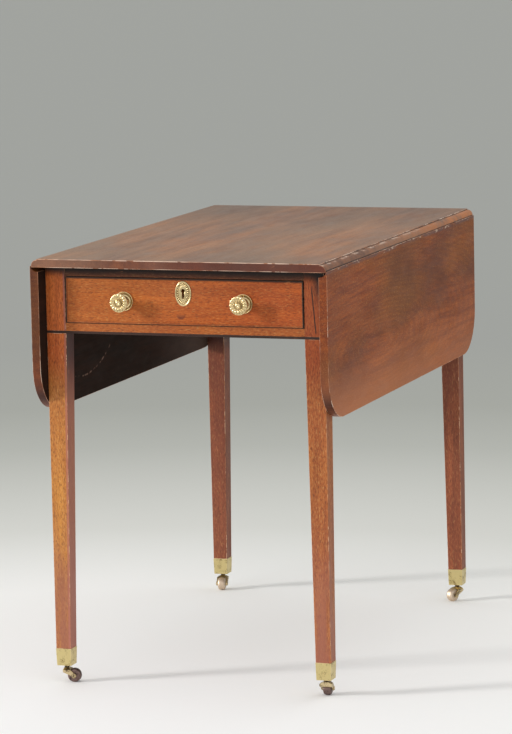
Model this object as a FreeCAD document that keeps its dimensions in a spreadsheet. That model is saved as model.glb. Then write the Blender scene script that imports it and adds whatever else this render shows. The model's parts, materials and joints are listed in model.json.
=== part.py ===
# Pembroke table: a fixed top with two drop leaves on rule joints, four fly
# brackets on wooden knuckles, one locking drawer, a sham drawer at the back
# and four brass casters.  Millimetres; +X right, -Y front, +Z up, floor at 0.

import FreeCAD, Part
import os
from types import SimpleNamespace

import Sketcher

doc = FreeCAD.newDocument("PembrokeTable")
sheet = doc.addObject("Spreadsheet::Sheet", "Sizes")

# Driving sizes
sizes = {
    # top and leaves
    "table_height": 711,
    "top_depth": 864,
    "flat_width": 484.5,
    "top_thickness": 14,
    "quirk": 2,
    "ovolo_radius": 9.5,
    "rule_gap": 0.4,
    "leaf_drop": 243,
    "leaf_corner_radius": 76,
    # frame
    "leaf_rest_gap": 0.75,
    "end_overhang": 30,
    "rail_height": 111,
    "leg_square": 34,
    "leg_foot": 26,
    "inner_rail_thickness": 11,
    "side_tenon_thickness": 6,
    "side_tenon_length": 16,
    "tenon_wall": 2,
    "tenon_shoulder": 12,
    "rear_rail_thickness": 22,
    "front_rail_depth": 46,
    "top_rail_thickness": 16.5,
    "bottom_rail_thickness": 17.5,
    "dovetail_length": 16,
    "dovetail_root": 16,
    "dovetail_flare": 3,
    "rail_tenon_width": 9,
    "rail_tenon_height": 10,
    "rail_tenon_length": 20,
    "stringing_height": 4,
    "stringing_depth": 1,
    "runner_width": 20,
    "top_screw_radius": 2.2,
    "top_screw_head": 4.2,
    "top_screw_head_height": 2.4,
    "top_screw_length": 24,
    # fly brackets
    "bracket_rail_thickness": 17.5,
    "bracket_play": 0.4,
    "bracket_pin_place": 240,
    "bracket_length": 224,
    "bracket_tip_height": 46,
    "bracket_curve_start": 100,
    "bracket_pin_radius": 2.5,
    "bracket_pin_fit": 0.06,
    "finger_play": 0.3,
    # drawer
    "drawer_play": 0.8,
    "drawer_back_room": 62,
    "drawer_front_thickness": 20,
    "drawer_side_thickness": 9,
    "drawer_back_thickness": 10,
    "drawer_bottom_thickness": 6,
    "drawer_bottom_lift": 7,
    "drawer_groove_depth": 4,
    "tail_length": 13,
    "tail_root": 12,
    "tail_flare": 2.5,
    "cockbead_width": 3,
    "cockbead_depth": 8,
    "cockbead_proud": 1.2,
    # drawer furniture
    "knob_spacing": 205,
    "knob_rise": 37.5,
    "knob_radius": 16,
    "knob_projection": 29.5,
    "knob_face_dome": 4,
    "knob_neck_radius": 6,
    "rose_radius": 16,
    "rose_thickness": 3,
    "knob_post_radius": 2.5,
    "knob_nut_radius": 6,
    "knob_nut_thickness": 4,
    "rear_post_length": 16,
    "escutcheon_width": 28,
    "escutcheon_height": 41,
    "escutcheon_thickness": 1.6,
    "escutcheon_rise": 52,
    "keyhole_radius": 2.8,
    "keyhole_slot_width": 3,
    "keyhole_slot_length": 12.5,
    "keyhole_lift": 4.5,
    "lock_width": 52,
    "lock_height": 40,
    "lock_depth": 10,
    "lock_plate": 2,
    "bolt_width": 22,
    "bolt_thickness": 5,
    "bolt_height": 16,
    "bolt_throw": 6,
    "bolt_play": 0.3,
    # iron table hinges
    "hinge_end_margin": 112,
    "hinge_length": 38,
    "hinge_plate": 1.6,
    "hinge_top_reach": 30,
    "hinge_leaf_reach": 45,
    "knuckle_radius": 2.4,
    "knuckle_room": 0.4,
    "leaf_knuckle_length": 12.5,
    "hinge_pin_radius": 1.2,
    "hinge_pin_fit": 0.05,
    "hinge_screw_radius": 1.5,
    "hinge_screw_head": 3.1,
    "hinge_screw_length": 9,
    # casters
    "cup_bottom": 29.3,
    "cup_height": 29,
    "cup_wall": 1.2,
    "cup_floor": 3.5,
    "spigot_top": 24.6,
    "spigot_bottom": 22.6,
    "spigot_room": 3,
    "wheel_radius": 11.5,
    "wheel_width": 14,
    "wheel_edge": 4,
    "caster_trail": 13,
    "fork_play": 0.5,
    "cheek_thickness": 2.6,
    "neck_radius": 4,
    "neck_height": 4.2,
    "shoulder_height": 3,
    "fork_back": 5,
    "fork_front": 7.5,
    "fork_thickness": 4,
    "swivel_gap": 0.4,
    "stem_radius": 2.6,
    "stem_fit": 0.06,
    "stem_head_radius": 4.2,
    "stem_head_height": 1.6,
    "axle_radius": 1.8,
    "axle_fit": 0.06,
    "axle_head_radius": 2.8,
    "axle_head_height": 0.9,
    "axle_boss_radius": 4,
}
for row, (name, value) in enumerate(sizes.items(), start=1):
    sheet.set("A%d" % row, name)
    sheet.set("B%d" % row, str(value))
    sheet.setAlias("B%d" % row, name)
doc.recompute()


class Size:
    # A number that keeps the spreadsheet formula it comes from.

    def __init__(self, value, formula):
        self.value = value
        self.formula = formula

    def __add__(self, other):
        other = as_size(other)
        return Size(self.value + other.value, "(%s + %s)" % (self.formula, other.formula))

    def __sub__(self, other):
        other = as_size(other)
        return Size(self.value - other.value, "(%s - %s)" % (self.formula, other.formula))

    def __mul__(self, other):
        other = as_size(other)
        return Size(self.value * other.value, "(%s * %s)" % (self.formula, other.formula))

    def __truediv__(self, other):
        other = as_size(other)
        return Size(self.value / other.value, "(%s / %s)" % (self.formula, other.formula))

    def __radd__(self, other):
        return as_size(other) + self

    def __rsub__(self, other):
        return as_size(other) - self

    def __rmul__(self, other):
        return as_size(other) * self

    def __neg__(self):
        return Size(-self.value, "(0 - %s)" % self.formula)


def as_size(number):
    return number if isinstance(number, Size) else Size(float(number), repr(float(number)))


def leg_of_triangle(long_side, short_side):
    # The third side of a right triangle.
    square = long_side * long_side - short_side * short_side
    return Size(square.value ** 0.5, "sqrt(%s)" % square.formula)


def bind(thing, **formulas):
    for path, number in formulas.items():
        thing.setExpression(path.replace("__", "."), as_size(number).formula)


s = SimpleNamespace(**{name: Size(float(value), "Sizes." + name) for name, value in sizes.items()})
nodes = []


def node(thing, label):
    # Marks a finished piece: its label names its file.
    thing.Label = label
    nodes.append(thing)
    return thing


def turn(thing, axis, angle):
    thing.Placement = FreeCAD.Placement(FreeCAD.Vector(), FreeCAD.Rotation(FreeCAD.Vector(*axis), angle))


def put(thing, x, y, z):
    bind(thing, Placement__Base__x=x, Placement__Base__y=y, Placement__Base__z=z)


# Solids made from primitives

def box(name, x, y, z):
    thing = doc.addObject("Part::Box", name)
    bind(thing, Length=x[1] - x[0], Width=y[1] - y[0], Height=z[1] - z[0])
    put(thing, x[0], y[0], z[0])
    return thing


def cylinder(name, along, radius, start, end, across):
    # A cylinder from start to end along one axis, at the two other coordinates.
    thing = doc.addObject("Part::Cylinder", name)
    bind(thing, Radius=radius, Height=end - start)
    axis, angle = {"X": ((0, 1, 0), 90), "Y": ((1, 0, 0), -90), "Z": ((0, 0, 1), 0)}[along]
    turn(thing, axis, angle)
    place = list(across)
    place.insert("XYZ".index(along), start)
    put(thing, *place)
    return thing


def fuse(name, pieces):
    thing = doc.addObject("Part::MultiFuse", name)
    thing.Shapes = pieces
    thing.Refine = True
    return thing


def group(name, pieces):
    thing = doc.addObject("Part::Compound", name)
    thing.Links = pieces
    return thing


def cut(name, base, tools):
    thing = doc.addObject("Part::Cut", name)
    thing.Base = base
    thing.Tool = tools[0] if len(tools) == 1 else group(name + "_tools", tools)
    thing.Refine = True
    return thing


def mirror(name, source, axis):
    thing = doc.addObject("Part::Mirroring", name)
    thing.Source = source
    thing.Normal = {"X": FreeCAD.Vector(1, 0, 0), "Y": FreeCAD.Vector(0, 1, 0)}[axis]
    return thing


def screw(name, along, place, sizes_of_screw, way):
    # A flat-headed screw: head and shank are eight-sided prisms, from its head's face along one axis.
    head_radius, head_height, shank_radius, length = sizes_of_screw
    axis, angle = {"X": ((0, 1, 0), 90 * way), "Z": ((1, 0, 0), 0)}[along]
    pieces = []
    for part, radius, height in (("head", head_radius, head_height), ("shank", shank_radius, length)):
        thing = doc.addObject("Part::Prism", "%s_%s" % (name, part))
        thing.Polygon = 8
        bind(thing, Circumradius=radius, Height=height)
        turn(thing, axis, angle)
        put(thing, *place)
        pieces.append(thing)
    return fuse(name, pieces)


# Solids made from sketches

def new_body(name):
    return doc.addObject("PartDesign::Body", name)


def new_sketch(body, name, plane, offset=(0, 0, 0)):
    sketch = body.newObject("Sketcher::SketchObject", name)
    origin = [part for part in body.Origin.OriginFeatures if part.Role == plane + "_Plane"][0]
    sketch.AttachmentSupport = [(origin, "")]
    sketch.MapMode = "FlatFace"
    bind(
        sketch,
        AttachmentOffset__Base__x=offset[0],
        AttachmentOffset__Base__y=offset[1],
        AttachmentOffset__Base__z=offset[2],
    )
    return sketch


def pin(sketch, geometry, end, x=None, y=None):
    # Ties a point of the sketch to its coordinates.
    for kind, number in (("DistanceX", x), ("DistanceY", y)):
        if number is not None:
            number = as_size(number)
            row = sketch.addConstraint(Sketcher.Constraint(kind, -1, 1, geometry, end, number.value))
            sketch.setExpression("Constraints[%d]" % row, number.formula)


def vector(x, y):
    return FreeCAD.Vector(as_size(x).value, as_size(y).value, 0)


def angle_round(center, end):
    upper = 1 if end.y >= center.y else -1
    return FreeCAD.Vector(1, 0, 0).getAngle(end - center) * upper


def outline(sketch, start, steps):
    # Draws a closed outline.  A step is a corner (x, y), or an arc
    # (center, end, tied, turn): tied says which coordinate of the end is
    # given, and turn is +1 against the clock and -1 with it.
    first = None
    here = start
    previous = None
    given = (True, True)
    for step in list(steps) + [None]:
        arc = step is not None and len(step) == 4
        goal = start if step is None else (step[1] if arc else step)
        a, b = vector(*here), vector(*goal)
        if arc:
            center = vector(*step[0])
            ends = (a, b) if step[3] > 0 else (b, a)
            angles = [angle_round(center, end) for end in ends]
            circle = Part.Circle(center, FreeCAD.Vector(0, 0, 1), (a - center).Length)
            row = sketch.addGeometry(Part.ArcOfCircle(circle, angles[0], angles[1]))
            begin, finish = (1, 2) if step[3] > 0 else (2, 1)
            pin(sketch, row, 3, step[0][0], step[0][1])
        else:
            row = sketch.addGeometry(Part.LineSegment(a, b))
            begin, finish = 1, 2
        pin(sketch, row, begin, here[0] if given[0] else None, here[1] if given[1] else None)
        if previous:
            sketch.addConstraint(Sketcher.Constraint("Coincident", previous[0], previous[1], row, begin))
        else:
            first = (row, begin)
        previous = (row, finish)
        here = goal
        given = ("x" in step[2], "y" in step[2]) if arc else (True, True)
    sketch.addConstraint(Sketcher.Constraint("Coincident", previous[0], previous[1], first[0], first[1]))


def rectangle(sketch, x, y):
    outline(sketch, (x[0], y[0]), [(x[1], y[0]), (x[1], y[1]), (x[0], y[1])])


def pad(body, sketch, length):
    feature = body.newObject("PartDesign::Pad", sketch.Name + "_pad")
    feature.Profile = sketch
    bind(feature, Length=length)
    return feature


def loft(body, kind, first, last):
    feature = body.newObject("PartDesign::" + kind, first.Name + "_loft")
    feature.Profile = first
    feature.Sections = [last]
    feature.Ruled = True
    return feature


def turned(name, axis, place, profile):
    # A turned piece: the profile is a list of (along, radius) from one end
    # to the other, and the axis runs through place.
    body = new_body(name)
    if axis == "Z":
        sketch = new_sketch(body, name + "_profile", "XZ", (place[0], place[2], -place[1]))
    else:
        sketch = new_sketch(body, name + "_profile", "XY", place)
    points = [(radius, along) if axis in "YZ" else (along, radius) for along, radius in profile]
    outline(sketch, points[0], points[1:])
    turning = body.newObject("PartDesign::Revolution", name + "_turning")
    turning.Profile = sketch
    turning.ReferenceAxis = (sketch, ["V_Axis" if axis in "YZ" else "H_Axis"])
    turning.Angle = 360
    return body


def place_body(body, x, y, heading):
    turn(body, (0, 0, 1), heading)
    bind(body, Placement__Base__x=x, Placement__Base__y=y)


# Levels and planes that the pieces share
top_z = s.table_height
under_z = top_z - s.top_thickness
rail_z = under_z - s.rail_height
opening_low = rail_z + s.bottom_rail_thickness
opening_high = under_z - s.top_rail_thickness
hinge_x = s.flat_width / 2
hinge_z = top_z - s.quirk - s.ovolo_radius
end_y = s.top_depth / 2
leaf_outside = hinge_x + s.quirk + s.ovolo_radius
leaf_inside = leaf_outside - s.top_thickness
leg_x = leaf_inside - s.leaf_rest_gap
leg_y = end_y - s.end_overhang
inside_x = leg_x - s.leg_square
inside_y = leg_y - s.leg_square
cup_top = s.cup_bottom + s.cup_height
foot_x = leg_x - s.leg_foot / 2
foot_y = leg_y - s.leg_foot / 2
sides = (("left", -1), ("right", 1))


# Hinges of the left rule joint, drawn with the leaf hanging
top_plates, leaf_plates, hinge_pins, top_screws, leaf_screws, hinge_rooms = [], [], [], [], [], []
half_knuckle = s.leaf_knuckle_length / 2
half_hinge = s.hinge_length / 2
knuckle_gap = s.knuckle_room / 2
plate_edge = s.knuckle_radius + s.knuckle_room
hinge_pitch = end_y - s.hinge_end_margin
hinge_screw = (s.hinge_screw_head, s.hinge_plate, s.hinge_screw_radius, s.hinge_screw_length)
screw_spread = s.hinge_length * 0.3
# each screw's share of its flap's reach, and its side of the flap's middle
top_flap_spots = ((0.35, -1), (0.35, 1), (0.75, 0))
leaf_flap_spots = ((0.45, -1), (0.45, 1), (0.8, 0))
axis_place = (-hinge_x, hinge_z)
for number in (-1, 0, 1):
    y = number * hinge_pitch
    tag = "hinge_%d_" % (number + 2)
    shut = (y - half_hinge, y + half_hinge)
    middle = (y - half_knuckle, y + half_knuckle)
    ends = ((shut[0], middle[0] - knuckle_gap), (middle[1] + knuckle_gap, shut[1]))
    plate_z = (under_z, under_z + s.hinge_plate)
    web_x = (-hinge_x, -hinge_x + plate_edge)
    pieces = [box(tag + "top_flap", (-hinge_x + plate_edge, -hinge_x + s.hinge_top_reach), shut, plate_z)]
    for place, span in enumerate(ends):
        pieces.append(box(tag + "top_web_%d" % place, web_x, span, plate_z))
        pieces.append(cylinder(tag + "top_knuckle_%d" % place, "Y", s.knuckle_radius, *span, axis_place))
    bore = cylinder(tag + "pin", "Y", s.hinge_pin_radius, *shut, axis_place)
    hinge_pins.append(bore)
    screws = []
    for row, (share, side) in enumerate(top_flap_spots):
        spot = (-hinge_x + s.hinge_top_reach * share, y + side * screw_spread, under_z)
        screws.append(screw(tag + "top_screw_%d" % row, "Z", spot, hinge_screw, 1))
    top_screws += screws
    top_plates.append(cut(tag + "top_plate", fuse(tag + "top_blank", pieces), [bore] + screws))

    flap_x = (-leaf_inside - s.hinge_plate, -leaf_inside)
    flap_z = hinge_z - s.knuckle_radius - s.knuckle_room * 4
    pieces = [
        box(tag + "leaf_flap", flap_x, shut, (hinge_z - s.hinge_leaf_reach, flap_z)),
        box(tag + "leaf_web", flap_x, middle, (flap_z, hinge_z)),
        cylinder(tag + "leaf_knuckle", "Y", s.knuckle_radius, *middle, axis_place),
    ]
    bore = cylinder(tag + "leaf_bore", "Y", s.hinge_pin_radius + s.hinge_pin_fit, *middle, axis_place)
    screws = []
    for row, (share, side) in enumerate(leaf_flap_spots):
        spot = (-leaf_inside, y + side * screw_spread, hinge_z - s.hinge_leaf_reach * share)
        screws.append(screw(tag + "leaf_screw_%d" % row, "X", spot, hinge_screw, -1))
    leaf_screws += screws
    leaf_plates.append(cut(tag + "leaf_plate", fuse(tag + "leaf_blank", pieces), [bore] + screws))

    # room in the underside for the knuckle and for the leaf's flap as it turns
    room = (y - half_hinge - s.knuckle_room, y + half_hinge + s.knuckle_room)
    hinge_rooms.append(cylinder(tag + "barrel_room", "Y", plate_edge, *room, axis_place))
    hinge_rooms.append(box(
        tag + "flap_room", (-hinge_x - s.ovolo_radius - 1, -hinge_x + plate_edge), room,
        (under_z - 1, under_z + s.hinge_plate + s.knuckle_room)))


def both_sides(name, pieces):
    left = group(name + "_left", pieces)
    return left, mirror(name + "_right", left, "X")


plates_left, plates_right = both_sides("top_plates", top_plates)
pins_left, pins_right = both_sides("hinge_pin", hinge_pins)
screws_left, screws_right = both_sides("top_flap_screws", top_screws)
rooms_left, rooms_right = both_sides("hinge_rooms", hinge_rooms)
hinge_top_plates = node(group("HingeTopPlates", [plates_left, plates_right]), "hinge_top_plates")
node(group("HingePins", [pins_left, pins_right]), "hinge_pins")
hinge_top_screws = node(group("HingeTopScrews", [screws_left, screws_right]), "hinge_top_screws")
left_plates = node(group("LeftLeafPlates", leaf_plates), "left_leaf_hinge_plates")
left_screws = node(group("LeftLeafScrews", leaf_screws), "left_leaf_hinge_screws")
node(mirror("RightLeafPlates", left_plates, "X"), "right_leaf_hinge_plates")
node(mirror("RightLeafScrews", left_screws, "X"), "right_leaf_hinge_screws")

# Top board: its long edges carry the ovolo of the rule joint
body = new_body("TopBlank")
sketch = new_sketch(body, "top_profile", "XZ", (0, 0, -end_y))
axis_above_underside = hinge_z - under_z
ovolo_foot = leg_of_triangle(s.ovolo_radius, axis_above_underside)
outline(sketch, (-hinge_x, top_z), [
    (hinge_x, top_z),
    (hinge_x, top_z - s.quirk),
    ((hinge_x, hinge_z), (hinge_x + ovolo_foot, under_z), "y", -1),
    (-hinge_x - ovolo_foot, under_z),
    ((-hinge_x, hinge_z), (-hinge_x, top_z - s.quirk), "x", -1),
])
pad(body, sketch, s.top_depth)
top_blank = body

# Screws that hold the top, driven up through the kickers
holding_pitch = inside_y * 0.7
holding_screw = (s.top_screw_head, s.top_screw_head_height, s.top_screw_radius, s.top_screw_length)
holding_screws = []
for side, sign in sides:
    for row in (-1, 0, 1):
        spot = (sign * (inside_x - s.runner_width / 2), row * holding_pitch, opening_high)
        holding_screws.append(screw("holding_screw_%s_%d" % (side, row + 2), "Z", spot, holding_screw, 1))
holding = node(group("HoldingScrews", holding_screws), "top_holding_screws")
top_tools = [rooms_left, rooms_right, hinge_top_plates, hinge_top_screws, holding]
node(cut("TopBoard", top_blank, top_tools), "top_board")

# Left leaf: coved along its upper edge, with rounded lower corners
lip_z = hinge_z - s.rule_gap
edge_z = lip_z - s.leaf_drop
corner = s.leaf_corner_radius
body = new_body("LeftLeafBlank")
sketch = new_sketch(body, "leaf_outline", "YZ", (0, 0, -leaf_outside))
outline(sketch, (-end_y, lip_z), [
    (-end_y, edge_z + corner),
    ((corner - end_y, edge_z + corner), (corner - end_y, edge_z), "x", 1),
    (end_y - corner, edge_z),
    ((end_y - corner, edge_z + corner), (end_y, edge_z + corner), "y", 1),
    (end_y, lip_z),
])
pad(body, sketch, s.top_thickness)
cove = cylinder("leaf_cove", "Y", s.ovolo_radius + s.rule_gap, -end_y - 1, end_y + 1, (-hinge_x, hinge_z))
left_leaf = node(cut("LeftLeaf", body, [cove, left_plates, left_screws]), "left_leaf")
node(mirror("RightLeaf", left_leaf, "X"), "right_leaf")

# Rails
inner_x = (-inside_x - s.inner_rail_thickness, -inside_x)
tenon_x = (inner_x[0] + (s.inner_rail_thickness - s.side_tenon_thickness) / 2,
           inner_x[1] - (s.inner_rail_thickness - s.side_tenon_thickness) / 2)
left_inner = node(fuse("LeftInnerRail", [
    box("inner_rail_board", inner_x, (-inside_y, inside_y), (rail_z, under_z)),
    box("inner_rail_tenons", tenon_x, (-inside_y - s.side_tenon_length, inside_y + s.side_tenon_length),
        (opening_low + s.tenon_wall, opening_high - s.tenon_shoulder)),
]), "left_inner_rail")

string_z = (rail_z, rail_z + s.stringing_height)
string_front = (-leg_y, -leg_y + s.stringing_depth)
string_spans = {
    "left_leg": (-leg_x, -inside_x),
    "rail": (-inside_x, inside_x),
    "right_leg": (inside_x, leg_x),
}
strings = [box("string_" + tag, span, string_front, string_z) for tag, span in string_spans.items()]
front_strings = group("FrontStrings", strings)
rear_strings = mirror("RearStrings", front_strings, "Y")
stringing = node(group("Stringing", [front_strings, rear_strings]), "frieze_stringing")

front_y = (-leg_y, -leg_y + s.front_rail_depth)
leg_middle = -leg_y + s.leg_square / 2
body = new_body("DrawerTopRail")
sketch = new_sketch(body, "top_rail_outline", "XY", (0, 0, opening_high))
root = s.dovetail_root / 2
wide = root + s.dovetail_flare
tail_x = inside_x + s.dovetail_length
outline(sketch, (-inside_x, front_y[0]), [
    (inside_x, front_y[0]), (inside_x, leg_middle - root), (tail_x, leg_middle - wide),
    (tail_x, leg_middle + wide), (inside_x, leg_middle + root), (inside_x, front_y[1]),
    (-inside_x, front_y[1]), (-inside_x, leg_middle + root), (-tail_x, leg_middle + wide),
    (-tail_x, leg_middle - wide), (-inside_x, leg_middle - root),
])
pad(body, sketch, s.top_rail_thickness)
top_rail_blank = body

pieces = [box("bottom_rail_board", (-inside_x, inside_x), front_y, (rail_z, opening_low))]
tenon_z = (rail_z + s.stringing_height + 1, rail_z + s.stringing_height + 1 + s.rail_tenon_height)
tenon_reach = inside_x + s.rail_tenon_length
tenon_offset = s.rail_tenon_width * 0.8
for row, side in enumerate((-1, 1)):
    middle = leg_middle + side * tenon_offset
    pieces.append(box(
        "bottom_rail_tenon_%d" % row, (-tenon_reach, tenon_reach),
        (middle - s.rail_tenon_width / 2, middle + s.rail_tenon_width / 2), tenon_z))
bottom_blank = fuse("bottom_rail_blank", pieces)
bottom_rail = node(cut("DrawerBottomRail", bottom_blank, [stringing]), "drawer_bottom_rail")

rear_y = (leg_y - s.rear_rail_thickness, leg_y)
rear_tenon_low = inside_y + s.side_tenon_length + s.tenon_wall
rear_tenon_y = (rear_tenon_low, rear_tenon_low + s.side_tenon_thickness)
rear_tenon_z = (rail_z + s.tenon_shoulder, under_z - s.tenon_shoulder)
rear_blank = fuse("rear_rail_blank", [
    box("rear_rail_board", (-inside_x, inside_x), rear_y, (rail_z, under_z)),
    box("rear_rail_tenon", (-tenon_reach, tenon_reach), rear_tenon_y, rear_tenon_z),
])

# Left side: fixed rail in three blocks, with a fly bracket in each gap.  A
# bracket is knuckled to an end block and points to the middle of the table.
rail_out = -inside_x - s.inner_rail_thickness
block_x = (rail_out - s.bracket_rail_thickness, rail_out)
bracket_x = (block_x[0], block_x[1] - s.bracket_play)
swing_radius = (s.bracket_rail_thickness - s.bracket_play) / 2
pin_x = block_x[0] + swing_radius
pin_y = s.bracket_pin_place
shoulder = swing_radius + s.bracket_play
tip_y = pin_y - s.bracket_length
finger = s.rail_height / 5


def knuckle(tag, rows, root_y, bore_radius, top_z_of_piece):
    # Fingers round the bracket pin, from a root plane to the pin's axis.
    solids = []
    for row in rows:
        low = rail_z + finger * row + (s.finger_play / 2 if row > 0 else 0)
        high = rail_z + finger * (row + 1) - s.finger_play / 2 if row < 4 else top_z_of_piece
        span = (root_y, pin_y) if root_y.value < pin_y.value else (pin_y, root_y)
        solids.append(box("%s_finger_%d" % (tag, row), bracket_x, span, (low, high)))
        solids.append(cylinder("%s_round_%d" % (tag, row), "Z", swing_radius, low, high, (pin_x, pin_y)))
    bore = cylinder(tag + "_bore", "Z", bore_radius, rail_z, under_z, (pin_x, pin_y))
    return solids, bore


fingers, bore = knuckle("block", (0, 2, 4), pin_y + shoulder, s.bracket_pin_radius, under_z)
end_body = box("end_block_body", block_x, (pin_y + shoulder, inside_y), (rail_z, under_z))
end_block = cut("left_end_block", fuse("end_block_blank", [end_body] + fingers), [bore])
middle_half = tip_y - s.bracket_play
middle_block = box("left_middle_block", block_x, (-middle_half, middle_half), (rail_z, under_z))
front_end_block = mirror("left_front_end_block", end_block, "Y")
left_blocks = node(group("LeftBlocks", [middle_block, end_block, front_end_block]), "left_bracket_rail")
node(mirror("RightBlocks", left_blocks, "X"), "right_bracket_rail")

body = new_body("BracketBlank")
bracket_high = under_z - s.bracket_play
curve_y = pin_y - s.bracket_curve_start
tip_z = bracket_high - s.bracket_tip_height
rise = tip_z - rail_z
half_rise = rise / 2
sketch = new_sketch(body, "bracket_side", "YZ", (0, 0, bracket_x[0]))
outline(sketch, (pin_y - shoulder, bracket_high), [
    (tip_y, bracket_high),
    (tip_y, tip_z),
    (curve_y - rise, tip_z),
    ((curve_y - rise, rail_z + half_rise), (curve_y - half_rise, rail_z + half_rise), "y", -1),
    ((curve_y, rail_z + half_rise), (curve_y, rail_z), "x", 1),
    (pin_y - shoulder, rail_z),
])
pad(body, sketch, bracket_x[1] - bracket_x[0])
bore_radius = s.bracket_pin_radius + s.bracket_pin_fit
fingers, bore = knuckle("bracket", (1, 3), pin_y - shoulder, bore_radius, bracket_high)
bracket_blank = fuse("rear_left_bracket_blank", [body] + fingers)
rear_left = node(cut("RearLeftBracket", bracket_blank, [bore]), "rear_left_fly_bracket")
front_left = node(mirror("FrontLeftBracket", rear_left, "Y"), "front_left_fly_bracket")
node(mirror("RearRightBracket", rear_left, "X"), "rear_right_fly_bracket")
node(mirror("FrontRightBracket", front_left, "X"), "front_right_fly_bracket")
bracket_pin = cylinder("bracket_pin", "Z", s.bracket_pin_radius, rail_z, under_z, (pin_x, pin_y))
pins = group("left_bracket_pins", [bracket_pin, mirror("front_bracket_pin", bracket_pin, "Y")])
node(group("BracketPins", [pins, mirror("right_bracket_pins", pins, "X")]), "fly_bracket_pins")

# Runners under the drawer and kickers over it
rail_back = -leg_y + s.front_rail_depth
runner_x = (-inside_x, -inside_x + s.runner_width)
runner = box("left_runner", runner_x, (rail_back, rear_y[0]), (rail_z, opening_low))
node(group("Runners", [runner, mirror("right_runner", runner, "X")]), "drawer_runners")
kicker = box("left_kicker", runner_x, (rail_back, rear_y[0]), (opening_high, under_z))
kickers = group("KickerBlanks", [kicker, mirror("right_kicker", kicker, "X")])
node(cut("Kickers", kickers, [holding]), "drawer_kickers")

# Drawer
drawer_x = inside_x - s.drawer_play
drawer_low = opening_low
drawer_high = opening_high - s.drawer_play
face_y = -leg_y
front_back = face_y + s.drawer_front_thickness
drawer_end = rear_y[0] - s.drawer_back_room
knob_z = drawer_low + s.knob_rise
plate_z = drawer_low + s.escutcheon_rise
key_z = plate_z + s.keyhole_lift
side_x = (-drawer_x, -drawer_x + s.drawer_side_thickness)
bottom_z = (drawer_low + s.drawer_bottom_lift, drawer_low + s.drawer_bottom_lift + s.drawer_bottom_thickness)
tail_pitch = (drawer_high - drawer_low) / 3


def tails(y, length, downward):
    # Corner points of three dovetails on an end of a drawer side.
    points = []
    half = s.tail_root / 2
    broad = half + s.tail_flare
    for row in (0, 1, 2):
        middle = drawer_low + tail_pitch * (row + 0.5)
        points += [(y, middle - half), (y + length, middle - broad)]
        points += [(y + length, middle + broad), (y, middle + half)]
    return list(reversed(points)) if downward else points


body = new_body("LeftSideBlank")
sketch = new_sketch(body, "drawer_side_outline", "YZ", (0, 0, side_x[0]))
side_back = drawer_end - s.drawer_back_thickness
outline(sketch, (front_back, drawer_low), [(side_back, drawer_low)]
        + tails(side_back, s.drawer_back_thickness, False)
        + [(side_back, drawer_high), (front_back, drawer_high)]
        + tails(front_back, -s.tail_length, True))
pad(body, sketch, s.drawer_side_thickness)
groove_x = drawer_x - s.drawer_side_thickness + s.drawer_groove_depth
bottom = node(box(
    "DrawerBottom", (-groove_x, groove_x),
    (front_back - s.drawer_groove_depth, drawer_end), bottom_z), "drawer_bottom")
left_side = node(cut("DrawerLeftSide", body, [bottom]), "drawer_left_side")
right_side = node(mirror("DrawerRightSide", left_side, "X"), "drawer_right_side")
back_z = (bottom_z[1], drawer_high)
back_blank = box("drawer_back_board", (-drawer_x, drawer_x), (side_back, drawer_end), back_z)
node(cut("DrawerBack", back_blank, [left_side, right_side]), "drawer_back")

bead = s.cockbead_width
bead_y = (face_y - s.cockbead_proud, face_y - s.cockbead_proud + s.cockbead_depth)


def bead_frame(name, tag, y):
    # Four strips round a drawer front.
    across = (-drawer_x, drawer_x)
    upright = (drawer_low + bead, drawer_high - bead)
    return group(name, [
        box(tag + "_top_bead", across, y, (drawer_high - bead, drawer_high)),
        box(tag + "_bottom_bead", across, y, (drawer_low, drawer_low + bead)),
        box(tag + "_left_bead", (-drawer_x, -drawer_x + bead), y, upright),
        box(tag + "_right_bead", (drawer_x - bead, drawer_x), y, upright),
    ])


node(bead_frame("DrawerCockbead", "drawer", bead_y), "drawer_cockbead")
rear_cockbead = node(bead_frame("RearCockbead", "rear", (-bead_y[1], -bead_y[0])), "rear_cockbead")


# Knobs: a turned post with a domed face, over a round rose
def knob(name, x, post_end):
    neck = s.knob_neck_radius
    neck_foot = neck * 1.4
    face = s.knob_projection
    rim = s.knob_projection - s.knob_face_dome
    dome_shoulder = s.knob_radius * 0.7
    dome_flat = s.knob_radius * 0.3
    return turned(name, "Y", (x, face_y, knob_z), [
        (post_end, 0), (post_end, s.knob_post_radius), (-s.rose_thickness, s.knob_post_radius),
        (-s.rose_thickness, neck_foot), (-s.rose_thickness * 2, neck), (-rim + s.rose_thickness, neck),
        (-rim + s.rose_thickness, s.knob_radius - s.rose_thickness), (-rim + 1, s.knob_radius),
        (-rim, s.knob_radius), (-face + 1, dome_shoulder), (-face, dome_flat), (-face, 0)])


def rose(name, x):
    rose_flat = s.rose_radius * 0.8
    return turned(name, "Y", (x, face_y, knob_z), [
        (0, s.knob_post_radius), (0, s.rose_radius), (-s.rose_thickness / 2, s.rose_radius),
        (-s.rose_thickness, rose_flat), (-s.rose_thickness, s.knob_post_radius)])


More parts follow.
